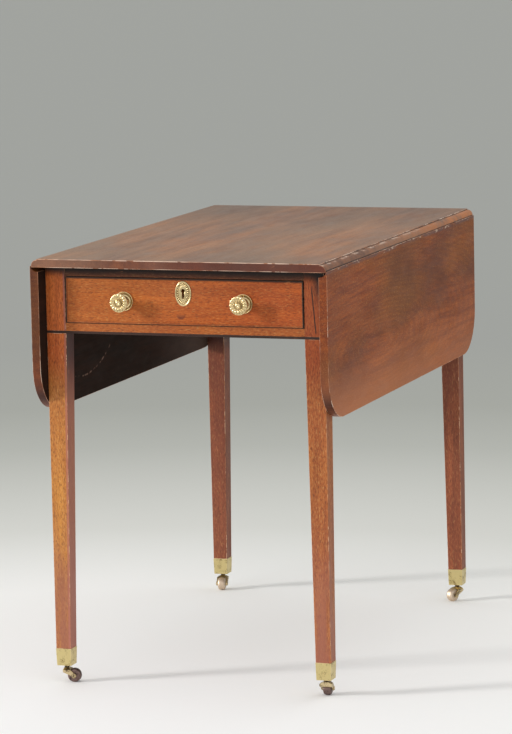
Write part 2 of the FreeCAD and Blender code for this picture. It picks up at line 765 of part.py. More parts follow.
knob_x = s.knob_spacing / 2
inner_end = s.drawer_front_thickness + s.knob_nut_thickness
knobs, roses, nuts, rear_posts, rear_plates = [], [], [], [], []
for side, sign in sides:
    x = sign * knob_x
    knobs.append(node(knob(side.capitalize() + "Knob", x, inner_end), side + "_knob"))
    roses.append(rose(side + "_rose", x))
    nuts.append(turned(side + "_nut", "Y", (x, face_y, knob_z), [
        (s.drawer_front_thickness, s.knob_post_radius), (s.drawer_front_thickness, s.knob_nut_radius),
        (inner_end, s.knob_nut_radius), (inner_end, s.knob_post_radius)]))
    rear_blank_name = "rear_%s_knob_blank" % side
    rear_posts.append(mirror("rear_%s_knob" % side, knob(rear_blank_name, x, s.rear_post_length), "Y"))
    rear_plates.append(mirror("rear_%s_rose" % side, roses[-1], "Y"))
node(group("KnobRoses", roses), "knob_roses")
node(group("KnobNuts", nuts), "knob_nuts")
rear_knobs = node(group("RearKnobs", rear_posts), "rear_knobs")
node(group("RearKnobRoses", rear_plates), "rear_knob_roses")
rear_rail = node(cut("RearRail", rear_blank, [stringing, rear_cockbead, rear_knobs]), "rear_rail")

# Lock: a box let into the back of the drawer front, and a bolt that lifts
lock_x = (-s.lock_width / 2, s.lock_width / 2)
lock_y = (front_back - s.lock_depth, front_back)
lock_z = (drawer_high - s.lock_height, drawer_high)
bolt_middle = front_back - s.lock_depth / 2
bolt_y = (bolt_middle - s.bolt_thickness / 2, bolt_middle + s.bolt_thickness / 2)
bolt_rest = drawer_high - s.lock_plate
bolt_x = (-s.bolt_width / 2, s.bolt_width / 2)
bolt = node(box("LockBolt", bolt_x, bolt_y, (bolt_rest - s.bolt_height, bolt_rest)), "lock_bolt")
room_x = (bolt_x[0] - s.bolt_play, bolt_x[1] + s.bolt_play)
room_y = (bolt_y[0] - s.bolt_play, bolt_y[1] + s.bolt_play)
bolt_room = box("bolt_room", room_x, room_y, (bolt_rest - s.bolt_height - s.bolt_play, drawer_high + 1))
key_low = key_z - s.keyhole_slot_length


def keyhole(tag, y):
    return [
        cylinder(tag + "_key_round", "Y", s.keyhole_radius, y[0], y[1], (as_size(0), key_z)),
        box(tag + "_key_slot", (-s.keyhole_slot_width / 2, s.keyhole_slot_width / 2), y, (key_low, key_z)),
    ]


lock_box = box("lock_box", lock_x, lock_y, lock_z)
lock_keyway = fuse("lock_keyway", keyhole("lock", (face_y - 5, lock_y[0] + s.lock_plate)))
node(cut("LockCase", lock_box, [bolt_room, lock_keyway]), "lock_case")
strike = box("bolt_mortise", room_x, room_y, (opening_high - 1, bolt_rest + s.bolt_throw + s.bolt_play))
node(cut("DrawerTopRailMortised", top_rail_blank, [strike]), "drawer_top_rail")

front_blank = fuse("drawer_front_blank", [
    box("drawer_front_face", (-drawer_x + bead, drawer_x - bead), (face_y, bead_y[1]),
        (drawer_low + bead, drawer_high - bead)),
    box("drawer_front_board", (-drawer_x, drawer_x), (bead_y[1], front_back), (drawer_low, drawer_high)),
])
front_keyway = fuse("front_keyway", keyhole("front", (face_y - 5, lock_y[0])))
front_tools = [left_side, right_side, bottom, lock_box, front_keyway] + knobs
node(cut("DrawerFront", front_blank, front_tools), "drawer_front")

# Escutcheon: an oval plate with the keyhole
body = new_body("EscutcheonBlank")
sketch = new_sketch(body, "escutcheon_oval", "XZ", (0, 0, -face_y))
half_tall = s.escutcheon_height / 2
half_broad = s.escutcheon_width / 2
center_z = plate_z
oval = sketch.addGeometry(Part.Ellipse(
    vector(0, center_z + half_tall), vector(half_broad, center_z), vector(0, center_z)))
sketch.exposeInternalGeometry(oval)
tall_axis, broad_axis = oval + 1, oval + 2
pin(sketch, oval, 3, 0, center_z)
pin(sketch, tall_axis, 1, 0, center_z + half_tall)
pin(sketch, broad_axis, 2, x=half_broad)
pad(body, sketch, s.escutcheon_thickness)
plate_key = fuse("plate_keyway", keyhole("plate", (face_y - 5, face_y + 5)))
node(cut("Escutcheon", body, [plate_key]), "escutcheon")


# Legs: square above, tapered on the inner faces below, with a spigot in the cup
def leg(name, y_sign):
    # A left leg; the outer faces stay upright and the inner faces taper.
    def span(width):
        near = (-leg_y, -leg_y + width)
        return near if y_sign < 0 else (-near[1], -near[0])

    def middle(width):
        center = y_sign * foot_y
        return (center - width / 2, center + width / 2)

    body = new_body(name)
    tall = new_sketch(body, name + "_square", "XY", (0, 0, rail_z))
    rectangle(tall, (-leg_x, -leg_x + s.leg_square), span(s.leg_square))
    pad(body, tall, s.rail_height)
    wide = new_sketch(body, name + "_taper_high", "XY", (0, 0, rail_z))
    rectangle(wide, (-leg_x, -leg_x + s.leg_square), span(s.leg_square))
    narrow = new_sketch(body, name + "_taper_low", "XY", (0, 0, cup_top))
    rectangle(narrow, (-leg_x, -leg_x + s.leg_foot), span(s.leg_foot))
    loft(body, "AdditiveLoft", wide, narrow)
    high = new_sketch(body, name + "_spigot_high", "XY", (0, 0, cup_top))
    rectangle(high, (-foot_x - s.spigot_top / 2, -foot_x + s.spigot_top / 2), middle(s.spigot_top))
    low = new_sketch(body, name + "_spigot_low", "XY", (0, 0, s.cup_bottom + s.cup_floor))
    rectangle(low, (-foot_x - s.spigot_bottom / 2, -foot_x + s.spigot_bottom / 2), middle(s.spigot_bottom))
    loft(body, "AdditiveLoft", high, low)
    return body


foot = (-foot_x, -foot_y)
floor_top = s.cup_bottom + s.cup_floor
stem_room_radius = s.stem_head_radius + s.swivel_gap
stem_room = cylinder("stem_room", "Z", stem_room_radius, s.cup_bottom, floor_top + s.spigot_room, foot)
leg_tools = [top_rail_blank, bottom_rail, left_inner, stringing, stem_room]
front_left_leg = node(cut("FrontLeftLeg", leg("front_leg_blank", -1), leg_tools), "front_left_leg")
node(mirror("FrontRightLeg", front_left_leg, "X"), "front_right_leg")
rear_tools = [rear_blank, left_inner, stringing, mirror("rear_stem_room", stem_room, "Y")]
rear_left_leg = node(cut("RearLeftLeg", leg("rear_leg_blank", 1), rear_tools), "rear_left_leg")
node(mirror("RearRightLeg", rear_left_leg, "X"), "rear_right_leg")
node(mirror("RightInnerRail", left_inner, "X"), "right_inner_rail")

# Caster cups: tapered square boxes on the feet
body = new_body("CupBlank")
place_body(body, -foot_x, -foot_y, 0)
outer_high = new_sketch(body, "cup_outer_high", "XY", (0, 0, cup_top))
outer_low = new_sketch(body, "cup_outer_low", "XY", (0, 0, s.cup_bottom))
inner_high = new_sketch(body, "cup_inner_high", "XY", (0, 0, cup_top))
inner_low = new_sketch(body, "cup_inner_low", "XY", (0, 0, s.cup_bottom + s.cup_floor))
for sketch, width in (
        (outer_high, s.spigot_top + 2 * s.cup_wall), (outer_low, s.spigot_bottom + 2 * s.cup_wall),
        (inner_high, s.spigot_top), (inner_low, s.spigot_bottom)):
    rectangle(sketch, (-width / 2, width / 2), (-width / 2, width / 2))
loft(body, "AdditiveLoft", outer_high, outer_low)
loft(body, "SubtractiveLoft", inner_high, inner_low)
cup_bore = cylinder("cup_bore", "Z", s.stem_radius + s.stem_fit, s.cup_bottom - 1, floor_top + 1, foot)
cup = cut("front_left_cup", body, [cup_bore])
cups = group("left_cups", [cup, mirror("rear_left_cup", cup, "Y")])
node(group("CasterCups", [cups, mirror("right_cups", cups, "X")]), "caster_cups")


# Casters: a horn that swivels on its stem, with a wheel on an axle between its cheeks
def caster(tag, x, y, heading):
    wheel_z = s.wheel_radius
    neck_top = s.cup_bottom - s.swivel_gap
    shoulder_top = neck_top - s.neck_height
    fork_top = shoulder_top - s.shoulder_height
    fork_half = s.wheel_width / 2 + s.fork_play + s.cheek_thickness
    boss = s.axle_boss_radius
    body = new_body(tag + "_horn_blank")
    sketch = new_sketch(body, tag + "_horn_side", "XZ", (0, 0, -fork_half))
    outline(sketch, (-s.fork_back, fork_top), [
        (s.fork_front, fork_top),
        (s.caster_trail + boss, wheel_z),
        (s.caster_trail - boss, wheel_z),
        (-s.fork_back, fork_top - s.fork_thickness),
    ])
    pad(body, sketch, 2 * fork_half)
    shoulder_high = new_sketch(body, tag + "_shoulder_high", "XY", (0, 0, shoulder_top))
    rectangle(shoulder_high, (-s.neck_radius, s.neck_radius), (-s.neck_radius, s.neck_radius))
    shoulder_low = new_sketch(body, tag + "_shoulder_low", "XY", (0, 0, fork_top))
    rectangle(shoulder_low, (-s.fork_back, s.fork_front), (-fork_half, fork_half))
    loft(body, "AdditiveLoft", shoulder_high, shoulder_low)
    for kind, radius, half in (
            ("Additive", boss, fork_half),
            ("Subtractive", s.wheel_radius + s.fork_play, s.wheel_width / 2 + s.fork_play),
            ("Subtractive", s.axle_radius, fork_half + 1)):
        round_piece = body.newObject("PartDesign::%sCylinder" % kind, tag + "_horn_round")
        bind(round_piece, Radius=radius, Height=2 * half)
        turn(round_piece, (1, 0, 0), -90)
        put(round_piece, s.caster_trail, -half, wheel_z)
    stem_top = floor_top + s.swivel_gap
    for kind, radius, low, high in (
            ("neck", s.neck_radius, fork_top, neck_top),
            ("stem", s.stem_radius, fork_top, stem_top),
            ("stem_head", s.stem_head_radius, stem_top, stem_top + s.stem_head_height)):
        round_piece = body.newObject("PartDesign::AdditiveCylinder", "%s_%s" % (tag, kind))
        bind(round_piece, Radius=radius, Height=high - low)
        bind(round_piece, Placement__Base__z=low)
    place_body(body, x, y, heading)
    node(body, tag + "_caster_horn")

    half = s.wheel_width / 2
    bore = s.axle_radius + s.axle_fit
    edge = s.wheel_edge
    halfway = edge * 0.3
    rim = s.wheel_radius
    center = (s.caster_trail, as_size(0), wheel_z)
    wheel = turned(tag + "_wheel", "Y", center, [
        (-half, bore), (-half, rim - edge), (-half + halfway, rim - halfway), (-half + edge, rim),
        (half - edge, rim), (half - halfway, rim - halfway), (half, rim - edge), (half, bore)])
    place_body(wheel, x, y, heading)
    node(wheel, tag + "_caster_wheel")

    reach = fork_half + s.axle_head_height
    thick, thin = s.axle_head_radius, s.axle_radius
    axle = turned(tag + "_axle", "Y", center, [
        (-reach, 0), (-reach, thick), (-fork_half, thick), (-fork_half, thin),
        (fork_half, thin), (fork_half, thick), (reach, thick), (reach, 0)])
    place_body(axle, x, y, heading)
    node(axle, tag + "_caster_axle")


caster("front_left", -foot_x, -foot_y, 10)
caster("front_right", foot_x, -foot_y, 95)
caster("rear_left", -foot_x, foot_y, -80)
caster("rear_right", foot_x, foot_y, -115)

doc.recompute()

for thing in doc.Objects:
    if "Invalid" in thing.State or "Error" in thing.State:
        raise RuntimeError("%s did not compute" % thing.Name)
os.makedirs("parts", exist_ok=True)
for thing in nodes:
    shape = thing.Shape
    if shape.isNull() or not shape.isValid() or not shape.Solids:
        raise RuntimeError("%s has no sound shape" % thing.Label)
    shape.exportStep("parts/%s.step" % thing.Label)
print("%d nodes, %d solids" % (len(nodes), sum(len(thing.Shape.Solids) for thing in nodes)))
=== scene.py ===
import json
import math

import bmesh
import bpy
from mathutils import Matrix, Vector

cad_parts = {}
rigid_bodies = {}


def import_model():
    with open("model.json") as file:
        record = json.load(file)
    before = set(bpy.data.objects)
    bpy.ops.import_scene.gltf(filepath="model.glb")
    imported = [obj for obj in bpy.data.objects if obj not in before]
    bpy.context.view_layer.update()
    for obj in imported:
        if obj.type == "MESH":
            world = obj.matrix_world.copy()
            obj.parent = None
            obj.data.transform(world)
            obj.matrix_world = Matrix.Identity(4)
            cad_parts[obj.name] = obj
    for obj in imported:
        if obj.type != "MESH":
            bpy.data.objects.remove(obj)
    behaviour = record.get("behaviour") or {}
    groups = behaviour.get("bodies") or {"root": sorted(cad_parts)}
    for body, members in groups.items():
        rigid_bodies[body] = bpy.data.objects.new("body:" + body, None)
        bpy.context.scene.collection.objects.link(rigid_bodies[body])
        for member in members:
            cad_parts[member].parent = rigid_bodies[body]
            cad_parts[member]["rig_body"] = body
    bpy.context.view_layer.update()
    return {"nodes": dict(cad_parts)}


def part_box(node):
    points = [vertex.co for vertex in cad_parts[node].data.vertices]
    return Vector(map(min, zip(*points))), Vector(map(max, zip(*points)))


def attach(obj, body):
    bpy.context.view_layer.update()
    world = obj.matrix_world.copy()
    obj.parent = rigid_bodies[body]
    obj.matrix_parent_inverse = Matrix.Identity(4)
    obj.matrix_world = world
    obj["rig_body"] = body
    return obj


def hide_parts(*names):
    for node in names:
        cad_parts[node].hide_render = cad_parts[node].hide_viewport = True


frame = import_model()
mm = 0.001
print("frame loaded:", len(frame["nodes"]), "nodes")


# colours and shader nodes

def tone(red, green, blue):  # a colour as a picture shows it, 0 to 255, made linear
    shares = [value / 255 for value in (red, green, blue)]
    linear = [c / 12.92 if c <= 0.04045 else ((c + 0.055) / 1.055) ** 2.4 for c in shares]
    return (*linear, 1.0)


def connect(tree, value, socket):
    if isinstance(value, bpy.types.NodeSocket):
        tree.links.new(value, socket)
    else:
        socket.default_value = value


def place(tree, kind, feeds=None, **settings):
    made = tree.nodes.new("ShaderNode" + kind)
    for name, value in settings.items():
        setattr(made, name, value)
    for name, value in (feeds or {}).items():
        connect(tree, value, made.inputs[name])
    return made


def mapped(tree, where, **settings):
    return place(tree, "Mapping", {"Vector": where, **settings}).outputs[0]


def calc(tree, operation, first, second=0.0, third=0.0):
    return place(tree, "Math", {0: first, 1: second, 2: third}, operation=operation).outputs[0]


def minus(tree, first, second):
    return calc(tree, "SUBTRACT", first, second)


def product(tree, *values):
    total = values[0]
    for value in values[1:]:
        total = calc(tree, "MULTIPLY", total, value)
    return total


def span(tree, value, low, high, toLow=0.0, toHigh=1.0):
    feeds = {"Value": value, "From Min": low, "From Max": high, "To Min": toLow, "To Max": toHigh}
    return place(tree, "MapRange", feeds, interpolation_type="SMOOTHSTEP").outputs["Result"]


def blendTone(tree, share, first, second, way="MIX"):
    return place(tree, "Mix", {0: share, 6: first, 7: second}, data_type="RGBA", blend_type=way).outputs[2]


def noiseNode(tree, where, scale, detail=3.0, rough=0.55, stretch=None):
    if stretch:
        where = mapped(tree, where, Scale=stretch)
    feeds = {"Vector": where, "Scale": scale, "Detail": detail, "Roughness": rough}
    return place(tree, "TexNoise", feeds).outputs


def noise(tree, where, scale, **choices):
    return noiseNode(tree, where, scale, **choices)["Fac"]


def distance(tree, first, second):
    squares = calc(tree, "ADD", product(tree, first, first), product(tree, second, second))
    return calc(tree, "SQRT", squares)


def mixture(tree, first, second, share):  # the share is that of the first
    return calc(tree, "MULTIPLY_ADD", first, share, product(tree, second, 1 - share))


def rising(tree, value, share, start, reach, rise):  # the larger the share, the more of the pattern shows
    begin = minus(tree, start, product(tree, share, reach))
    return span(tree, value, begin, calc(tree, "ADD", begin, rise))


def axes(tree, where):
    return place(tree, "SeparateXYZ", {0: where}).outputs


def spotOf(tree, where):  # X, Y and Z in millimetres
    return axes(tree, place(tree, "VectorMath", {0: where, "Scale": 1 / mm}, operation="SCALE").outputs[0])


def coat(tree, colour, over, *shares):  # the shares are multiplied
    return blendTone(tree, product(tree, *shares), colour, over)


def tint(tree, colour, over, *shares):
    return blendTone(tree, product(tree, *shares), colour, over, "MULTIPLY")


# node groups that several finishes share

def newGroup(name, inputs, outputs):
    tree = bpy.data.node_groups.new(name, "ShaderNodeTree")
    for label, value in inputs.items():
        kind = "NodeSocketVector" if value is None else "NodeSocketFloat"
        socket = tree.interface.new_socket(label, in_out="INPUT", socket_type=kind)
        if value is not None:
            socket.default_value = value
    for label in outputs:
        tree.interface.new_socket(label, in_out="OUTPUT", socket_type="NodeSocketFloat")
    taken = tree.nodes.new("NodeGroupInput").outputs
    given = tree.nodes.new("NodeGroupOutput").inputs
    return tree, taken, lambda label, value: connect(tree, value, given[label])


def useGroup(tree, name, feeds):
    made = tree.nodes.new("ShaderNodeGroup")
    made.node_tree = bpy.data.node_groups[name]
    for label, value in feeds.items():
        connect(tree, value, made.inputs[label])
    return made.outputs


patterns = {  # where each pattern begins to show and where it is full
    "streaks": (0.36, 0.64), "clouds": (0.36, 0.66), "glints": (0.52, 0.72), "mottle": (0.48, 0.28),
    "rubs": (0.34, 0.62), "chipRuns": (0.4, 0.62), "arris": (0.8, 0.95),
    "bloom": (0.38, 0.68), "gloss": (0.3, 0.7), "scratches": (0.69, 0.74),
    "dirt": (0.3, 0.6, 0.6, 1.0), "rough": (0.3, 1.0),
}


grainMix = {"swirl": 0.05, "hairFactor": 4.5, "hairShare": 0.35, "streakRise": 0.35, "poreRise": -0.8}


def makeWoodGrain():  # the grain runs along X of the vector that comes in
    inputs = {
        "Vector": None, "Streak Scale": 90.0, "Cloud Scale": 6.0, "Pore Scale": 420.0, "Pore Share": 0.5,
        "Speck Scale": 560.0}
    outputs = ["Streaks", "Clouds", "Pores", "Glints", "Mottle", "Height"]
    tree, taken, give = newGroup("woodGrain", inputs, outputs)
    straight = taken["Vector"]
    swirl = noiseNode(tree, straight, 5.0, detail=2.0, rough=0.5, stretch=(0.4, 1, 1))["Color"]
    centred = place(tree, "VectorMath", {0: swirl, 1: (0.5, 0.5, 0.5)}, operation="SUBTRACT").outputs[0]
    moved = place(tree, "VectorMath", {0: centred, "Scale": grainMix["swirl"]}, operation="SCALE").outputs[0]
    bent = place(tree, "VectorMath", {0: straight, 1: moved}, operation="ADD").outputs[0]
    broad = noise(tree, bent, taken["Streak Scale"], detail=5.0, rough=0.6, stretch=(0.06, 1, 1))
    hairScale = product(tree, taken["Streak Scale"], grainMix["hairFactor"])
    hair = noise(tree, bent, hairScale, rough=0.6, stretch=(0.025, 1, 1))
    mixed = mixture(tree, hair, broad, grainMix["hairShare"])
    give("Streaks", span(tree, mixed, *patterns["streaks"]))
    cloud = noise(tree, bent, taken["Cloud Scale"], stretch=(0.5, 1, 1))
    give("Clouds", span(tree, cloud, *patterns["clouds"]))
    fleck = noise(tree, straight, taken["Pore Scale"], detail=2.0, rough=0.5, stretch=(0.18, 1, 1))
    pores = rising(tree, fleck, taken["Pore Share"], start=0.82, reach=0.4, rise=0.12)
    give("Pores", pores)
    speck = noise(tree, straight, taken["Speck Scale"], detail=2.0, rough=0.6, stretch=(0.26, 1, 1))
    give("Glints", span(tree, speck, *patterns["glints"]))
    give("Mottle", span(tree, speck, *patterns["mottle"]))
    sunk = product(tree, pores, grainMix["poreRise"])
    give("Height", calc(tree, "MULTIPLY_ADD", mixed, grainMix["streakRise"], sunk))


def makeWornEdges():  # Edge is a measure that each face carries: 1 on an arris, less on a rubbed curve
    inputs = {"Edge": 0.0, "Vector": None, "Rub": 0.5, "Chip": 0.5}
    tree, taken, give = newGroup("wornEdges", inputs, ["Rub", "Chip"])
    here = taken["Vector"]
    patchy = noise(tree, here, 34.0, detail=6.0, rough=0.7)
    give("Rub", product(tree, taken["Edge"], span(tree, patchy, *patterns["rubs"]), taken["Rub"]))
    nicks = noise(tree, here, 75.0, detail=4.0, rough=0.65)
    chipped = rising(tree, nicks, taken["Chip"], start=0.68, reach=0.3, rise=0.06)
    runs = span(tree, noise(tree, here, 13.0, rough=0.6), *patterns["chipRuns"])
    onArris = span(tree, taken["Edge"], *patterns["arris"])
    give("Chip", product(tree, chipped, runs, onArris))


def makeOldPolish():  # smears of wax, dull bloom and fine scratches
    inputs = {"Vector": None, "Scratch": 0.4}
    tree, taken, give = newGroup("oldPolish", inputs, ["Bloom", "Gloss", "Scratches"])
    here = taken["Vector"]
    bloom = noise(tree, here, 7.0, detail=4.0, rough=0.6)
    give("Bloom", span(tree, bloom, *patterns["bloom"]))
    smear = noise(tree, here, 46.0, detail=4.0, rough=0.65)
    gloss = mixture(tree, smear, bloom, share=0.5)
    give("Gloss", span(tree, gloss, *patterns["gloss"]))
    turned = mapped(tree, here, Rotation=(0.4, 0.5, 0.9))
    lines = noise(tree, turned, 160.0, detail=2.0, rough=0.5, stretch=(0.02, 1, 1))
    fine = span(tree, lines, *patterns["scratches"])
    give("Scratches", product(tree, fine, taken["Scratch"]))


def makeAgedBrass():  # spots of tarnish, and dirt in the hollows
    inputs = {"Vector": None, "Hollow": 0.0, "Age": 0.4}
    tree, taken, give = newGroup("agedBrass", inputs, ["Tarnish", "Roughness", "Height"])
    here = taken["Vector"]
    blotch = noise(tree, here, 95.0, detail=4.0, rough=0.62)
    speck = noise(tree, here, 620.0, rough=0.6)
    skin = mixture(tree, speck, blotch, share=0.4)
    spots = rising(tree, skin, taken["Age"], start=0.82, reach=0.5, rise=0.16)
    hollow = product(tree, taken["Hollow"], span(tree, speck, *patterns["dirt"]))
    tarnish = calc(tree, "MAXIMUM", spots, hollow)
    give("Tarnish", tarnish)
    give("Roughness", span(tree, calc(tree, "MAXIMUM", tarnish, skin), *patterns["rough"]))
    give("Height", skin)


makeWoodGrain()
makeWornEdges()
makeOldPolish()
makeAgedBrass()
print("shared node groups made")


# finishes

grainAxes = {"x": Vector((1, 0, 0)), "y": Vector((0, 1, 0)), "z": Vector((0, 0, 1))}
grainTurns = {"x": (0, 0, 0), "y": (0, 0, -math.pi / 2), "z": (0, math.pi / 2, 0)}
strokeStretch = (0.3, 1, 1)  # polish is rubbed on along the grain
glintTone = tone(226, 186, 116)  # where the cut ends of the fibres catch the light
usualWood = {  # what a wood has unless its look says otherwise
    "scratch": 0.3, "poreDepth": 0.6, "specks": (0.0, 0.0), "marks": (), "rub": 0.5, "chip": 0.3,
    "end": (0.7, 0.62, 0.58, 1.0),  # end grain soaks up polish and goes darker
    "specular": 0.5, "bump": 0.12,
}
bumpDepth = {"wood": 0.4 * mm, "brass": 0.2 * mm}


def newFinish(name):
    material = bpy.data.materials.new(name)
    material.use_nodes = True
    tree = material.node_tree
    here = place(tree, "TexCoord").outputs["Object"]
    return material, tree, tree.nodes["Principled BSDF"], here


def faceValue(tree, name):  # a measure that each face of the piece carries
    return place(tree, "Attribute", attribute_name=name).outputs["Fac"]


def finishSurface(tree, shader, look, colour, gloss, height, depth):
    connect(tree, colour, shader.inputs["Base Color"])
    connect(tree, span(tree, gloss, 0.0, 1.0, *look["roughness"]), shader.inputs["Roughness"])
    raised = {"Height": height, "Strength": look["bump"], "Distance": depth}
    connect(tree, place(tree, "Bump", raised).outputs[0], shader.inputs["Normal"])


def woodFinish(name, choices):
    look = {**usualWood, **choices}
    material, tree, shader, here = newFinish(name)
    along = mapped(tree, here, Rotation=grainTurns[look["grain"]])
    grain = useGroup(tree, "woodGrain", {
        "Vector": along, "Streak Scale": look["streaks"], "Cloud Scale": look["clouds"],
        "Pore Scale": look["pores"], "Pore Share": look["poreShare"]})
    strokes = mapped(tree, along, Scale=strokeStretch)
    polish = useGroup(tree, "oldPolish", {"Vector": strokes, "Scratch": look["scratch"]})
    glint, mottle = look["specks"]
    layers = (
        (grain["Clouds"], look["cloudShare"], look["cloud"]),
        (polish["Bloom"], look["bloomShare"], look["bloom"]),
        (grain["Pores"], look["poreDepth"], look["pore"]),
        (grain["Glints"], glint, glintTone),
        (grain["Mottle"], mottle, look["pore"]))
    colour = blendTone(tree, grain["Streaks"], look["dark"], look["light"])
    for pattern, share, layerTone in layers:
        colour = coat(tree, colour, layerTone, pattern, share)
    for mark in look["marks"]:
        colour = mark(tree, here, colour)
    ends = faceValue(tree, "endGrain")
    if "endAcross" in look:  # one end of the board's edge has gone darker than the other
        ends = product(tree, ends, span(tree, spotOf(tree, here)[0], *look["endAcross"]))
    colour = tint(tree, colour, look["end"], ends)
    edge = faceValue(tree, "wear")
    worn = useGroup(tree, "wornEdges", {
        "Edge": edge, "Vector": here, "Rub": look["rub"], "Chip": look["chip"]})
    colour = blendTone(tree, worn["Rub"], colour, look["rubbed"])
    colour = blendTone(tree, worn["Chip"], colour, look["chipped"])
    colour = blendTone(tree, polish["Scratches"], colour, look["rubbed"])
    finishSurface(tree, shader, look, colour, polish["Gloss"], grain["Height"], bumpDepth["wood"])
    shader.inputs["Specular IOR Level"].default_value = look["specular"]
    return material


def brassFinish(name, look):
    material, tree, shader, here = newFinish(name)
    hollow = faceValue(tree, "hollow")
    aged = useGroup(tree, "agedBrass", {"Vector": here, "Hollow": hollow, "Age": look["age"]})
    colour = blendTone(tree, aged["Tarnish"], look["bright"], look["tarnish"])
    edge = faceValue(tree, "wear")
    worn = useGroup(tree, "wornEdges", {"Edge": edge, "Vector": here, "Rub": 0.9, "Chip": 0.0})
    colour = blendTone(tree, worn["Rub"], colour, look["rubbed"])
    finishSurface(tree, shader, look, colour, aged["Roughness"], aged["Height"], bumpDepth["brass"])
    shader.inputs["Metallic"].default_value = look.get("metallic", 1.0)
    return material


# marks of use, and painted shade and sheen, that the picture shows, each at its own place in millimetres

drawerDent = {
    "x": -4.6, "z": 621.5, "rim": (9.35, 6.8), "upperEdge": (-0.5, 1.5), "down": (0.0, 8.5),
    "depth": (0.35, 0.95), "front": -400, "tone": tone(104, 46, 26)}
# painted shade along the drawer's gap
drawerGapShade = {
    "x": (202.0, 202.5), "above": (674.9, 678.9), "below": (604.9, 604.4), "share": 0.95,
    "tone": tone(24, 12, 8)}
drawerTint = {"x": (-190, 190), "left": (1.05, 1.08, 0.9, 1.0), "right": (1.0, 0.83, 0.72, 1.0)}
legSplit = {
    "top": (217.3, 676), "low": (224.6, 592), "waver": 2, "rim": (1.36, 0.51), "topFade": (676, 662),
    "lowFade": (592, 598), "front": -400, "cornerX": (214, 232), "cornerZ": (628, 682), "cornerShare": 0.95,
    "tone": tone(38, 18, 12)}
# the height over which a leg's head is painted redder and darker, partly as painted shade
legHead = (470, 560)
legFoot = {"z": (340, 100), "patches": (0.3, 0.58), "share": 0.66, "tone": tone(144, 88, 76)}
# a purplish tone on the left front leg's inner side, and painted shade with some dirt under the frame
legShade = {
    "high": 586, "low": 58.3, "top": -205, "foot": -213, "strip": (-4.68, -2.52), "share": 0.75,
    "tone": tone(166, 102, 88), "inner": (-1.2, -0.4), "dark": (445, 565), "shade": (0.13, 0.1, 0.14, 1.0)}
# painted shade on the rear legs' inner faces under the frame
rearShade = {"x": 208.5, "y": 371.5, "z": (436, 478), "tone": (0.26, 0.22, 0.28, 1.0)}
# painted shade with some dirt, darkest close under the top
topShadeAndGrime = {"z": (676.5, 691.5), "uneven": 6, "share": 0.95, "tone": tone(20, 9, 6)}
topBack = {"y": (-60, 400), "tone": (0.79, 0.78, 0.8, 1.0)}
# the dirt tone and its share are painted shade in the joint's gap and quirk
ruleJoint = {
    "side": 241.2, "below": (709.3, 708.7), "quirk": (708.9, 709.6), "gap": (700.8, 699.2), "dirtShare": 0.85,
    "dirt": tone(46, 24, 22), "brightY": (-150, 330), "patches": (0.3, 0.6), "bright": tone(196, 116, 54),
    "dullY": (60, -330), "dullShare": 0.75, "dull": tone(84, 48, 38), "chipZ": (706.6, 708.7),
    "chipY": (260, -120), "chipShares": (0.1, 0.9), "dashes": (0.5, 0.56), "chip": tone(226, 200, 180)}
leafFigure = {
    "y": -150, "z": 548, "deep": 0.2, "flat": 0.22, "scale": 46.0, "share": 0.22, "tone": tone(96, 48, 32)}
leafPatch = {
    "y": 105, "z": 640, "reach": (330, 84), "slope": -0.12, "ragged": 2.0, "rim": (1.9, 1.05), "share": 0.55,
    "tone": tone(95, 50, 36)}
leafHem = {
    "z": (562, 455), "y": (300, -350), "alongShares": (0.85, 1.3), "share": 0.55, "tone": tone(190, 119, 77)}
leafLip = {
    "z": (691.5, 697), "worn": (0.36, 0.56), "share": 0.8, "tone": tone(108, 82, 78), "nicks": (0.6, 0.66),
    "nickShare": 0.6, "chip": tone(220, 192, 170), "stretch": (1, 0.35, 1)}
# painted shade under a leaf's rounded lower corner
leafCornerShade = {"z": (520, 472), "tone": (0.16, 0.12, 0.16, 1.0)}
# a painted sheen on the leaves' inner faces, paler towards the back
leafInsideSheen = {"y": (60, 400), "share": 0.5, "tone": tone(112, 94, 86)}
bracketRub = {
    "pin": -240, "level": 716.8, "radius": 224.6, "rim": (1.98, 0.55), "end": (545, 505),
    "dashes": (0.45, 0.6), "share": 0.7, "tone": tone(166, 132, 116)}


def markShadeAndGrime(tree, here, colour):  # painted shade under the top's overhang, with wax and dirt that has gathered there
    uneven = topShadeAndGrime["uneven"]
    waved = calc(tree, "MULTIPLY_ADD", noise(tree, here, 26.0), uneven, spotOf(tree, here)[2])
    dirt = span(tree, minus(tree, waved, uneven / 2), *topShadeAndGrime["z"])
    return coat(tree, colour, topShadeAndGrime["tone"], dirt, topShadeAndGrime["share"])


def headToneAndShade(multiplier):  # the head of a leg, beside the drawer, is painted redder and darker than its shaft: partly the wood's own tone, partly painted shade where the leaf's shadow falls
    def mark(tree, here, colour):
        head = span(tree, spotOf(tree, here)[2], *legHead)
        return tint(tree, colour, (*multiplier, 1.0), head)
    return mark


def markFoot(tree, here, colour):  # the lower part of a leg has faded to a purplish brown in patches
    low = span(tree, spotOf(tree, here)[2], *legFoot["z"])
    patches = span(tree, noise(tree, here, 60.0, rough=0.5, stretch=(1, 1, 0.12)), *legFoot["patches"])
    return coat(tree, colour, legFoot["tone"], low, patches, legFoot["share"])


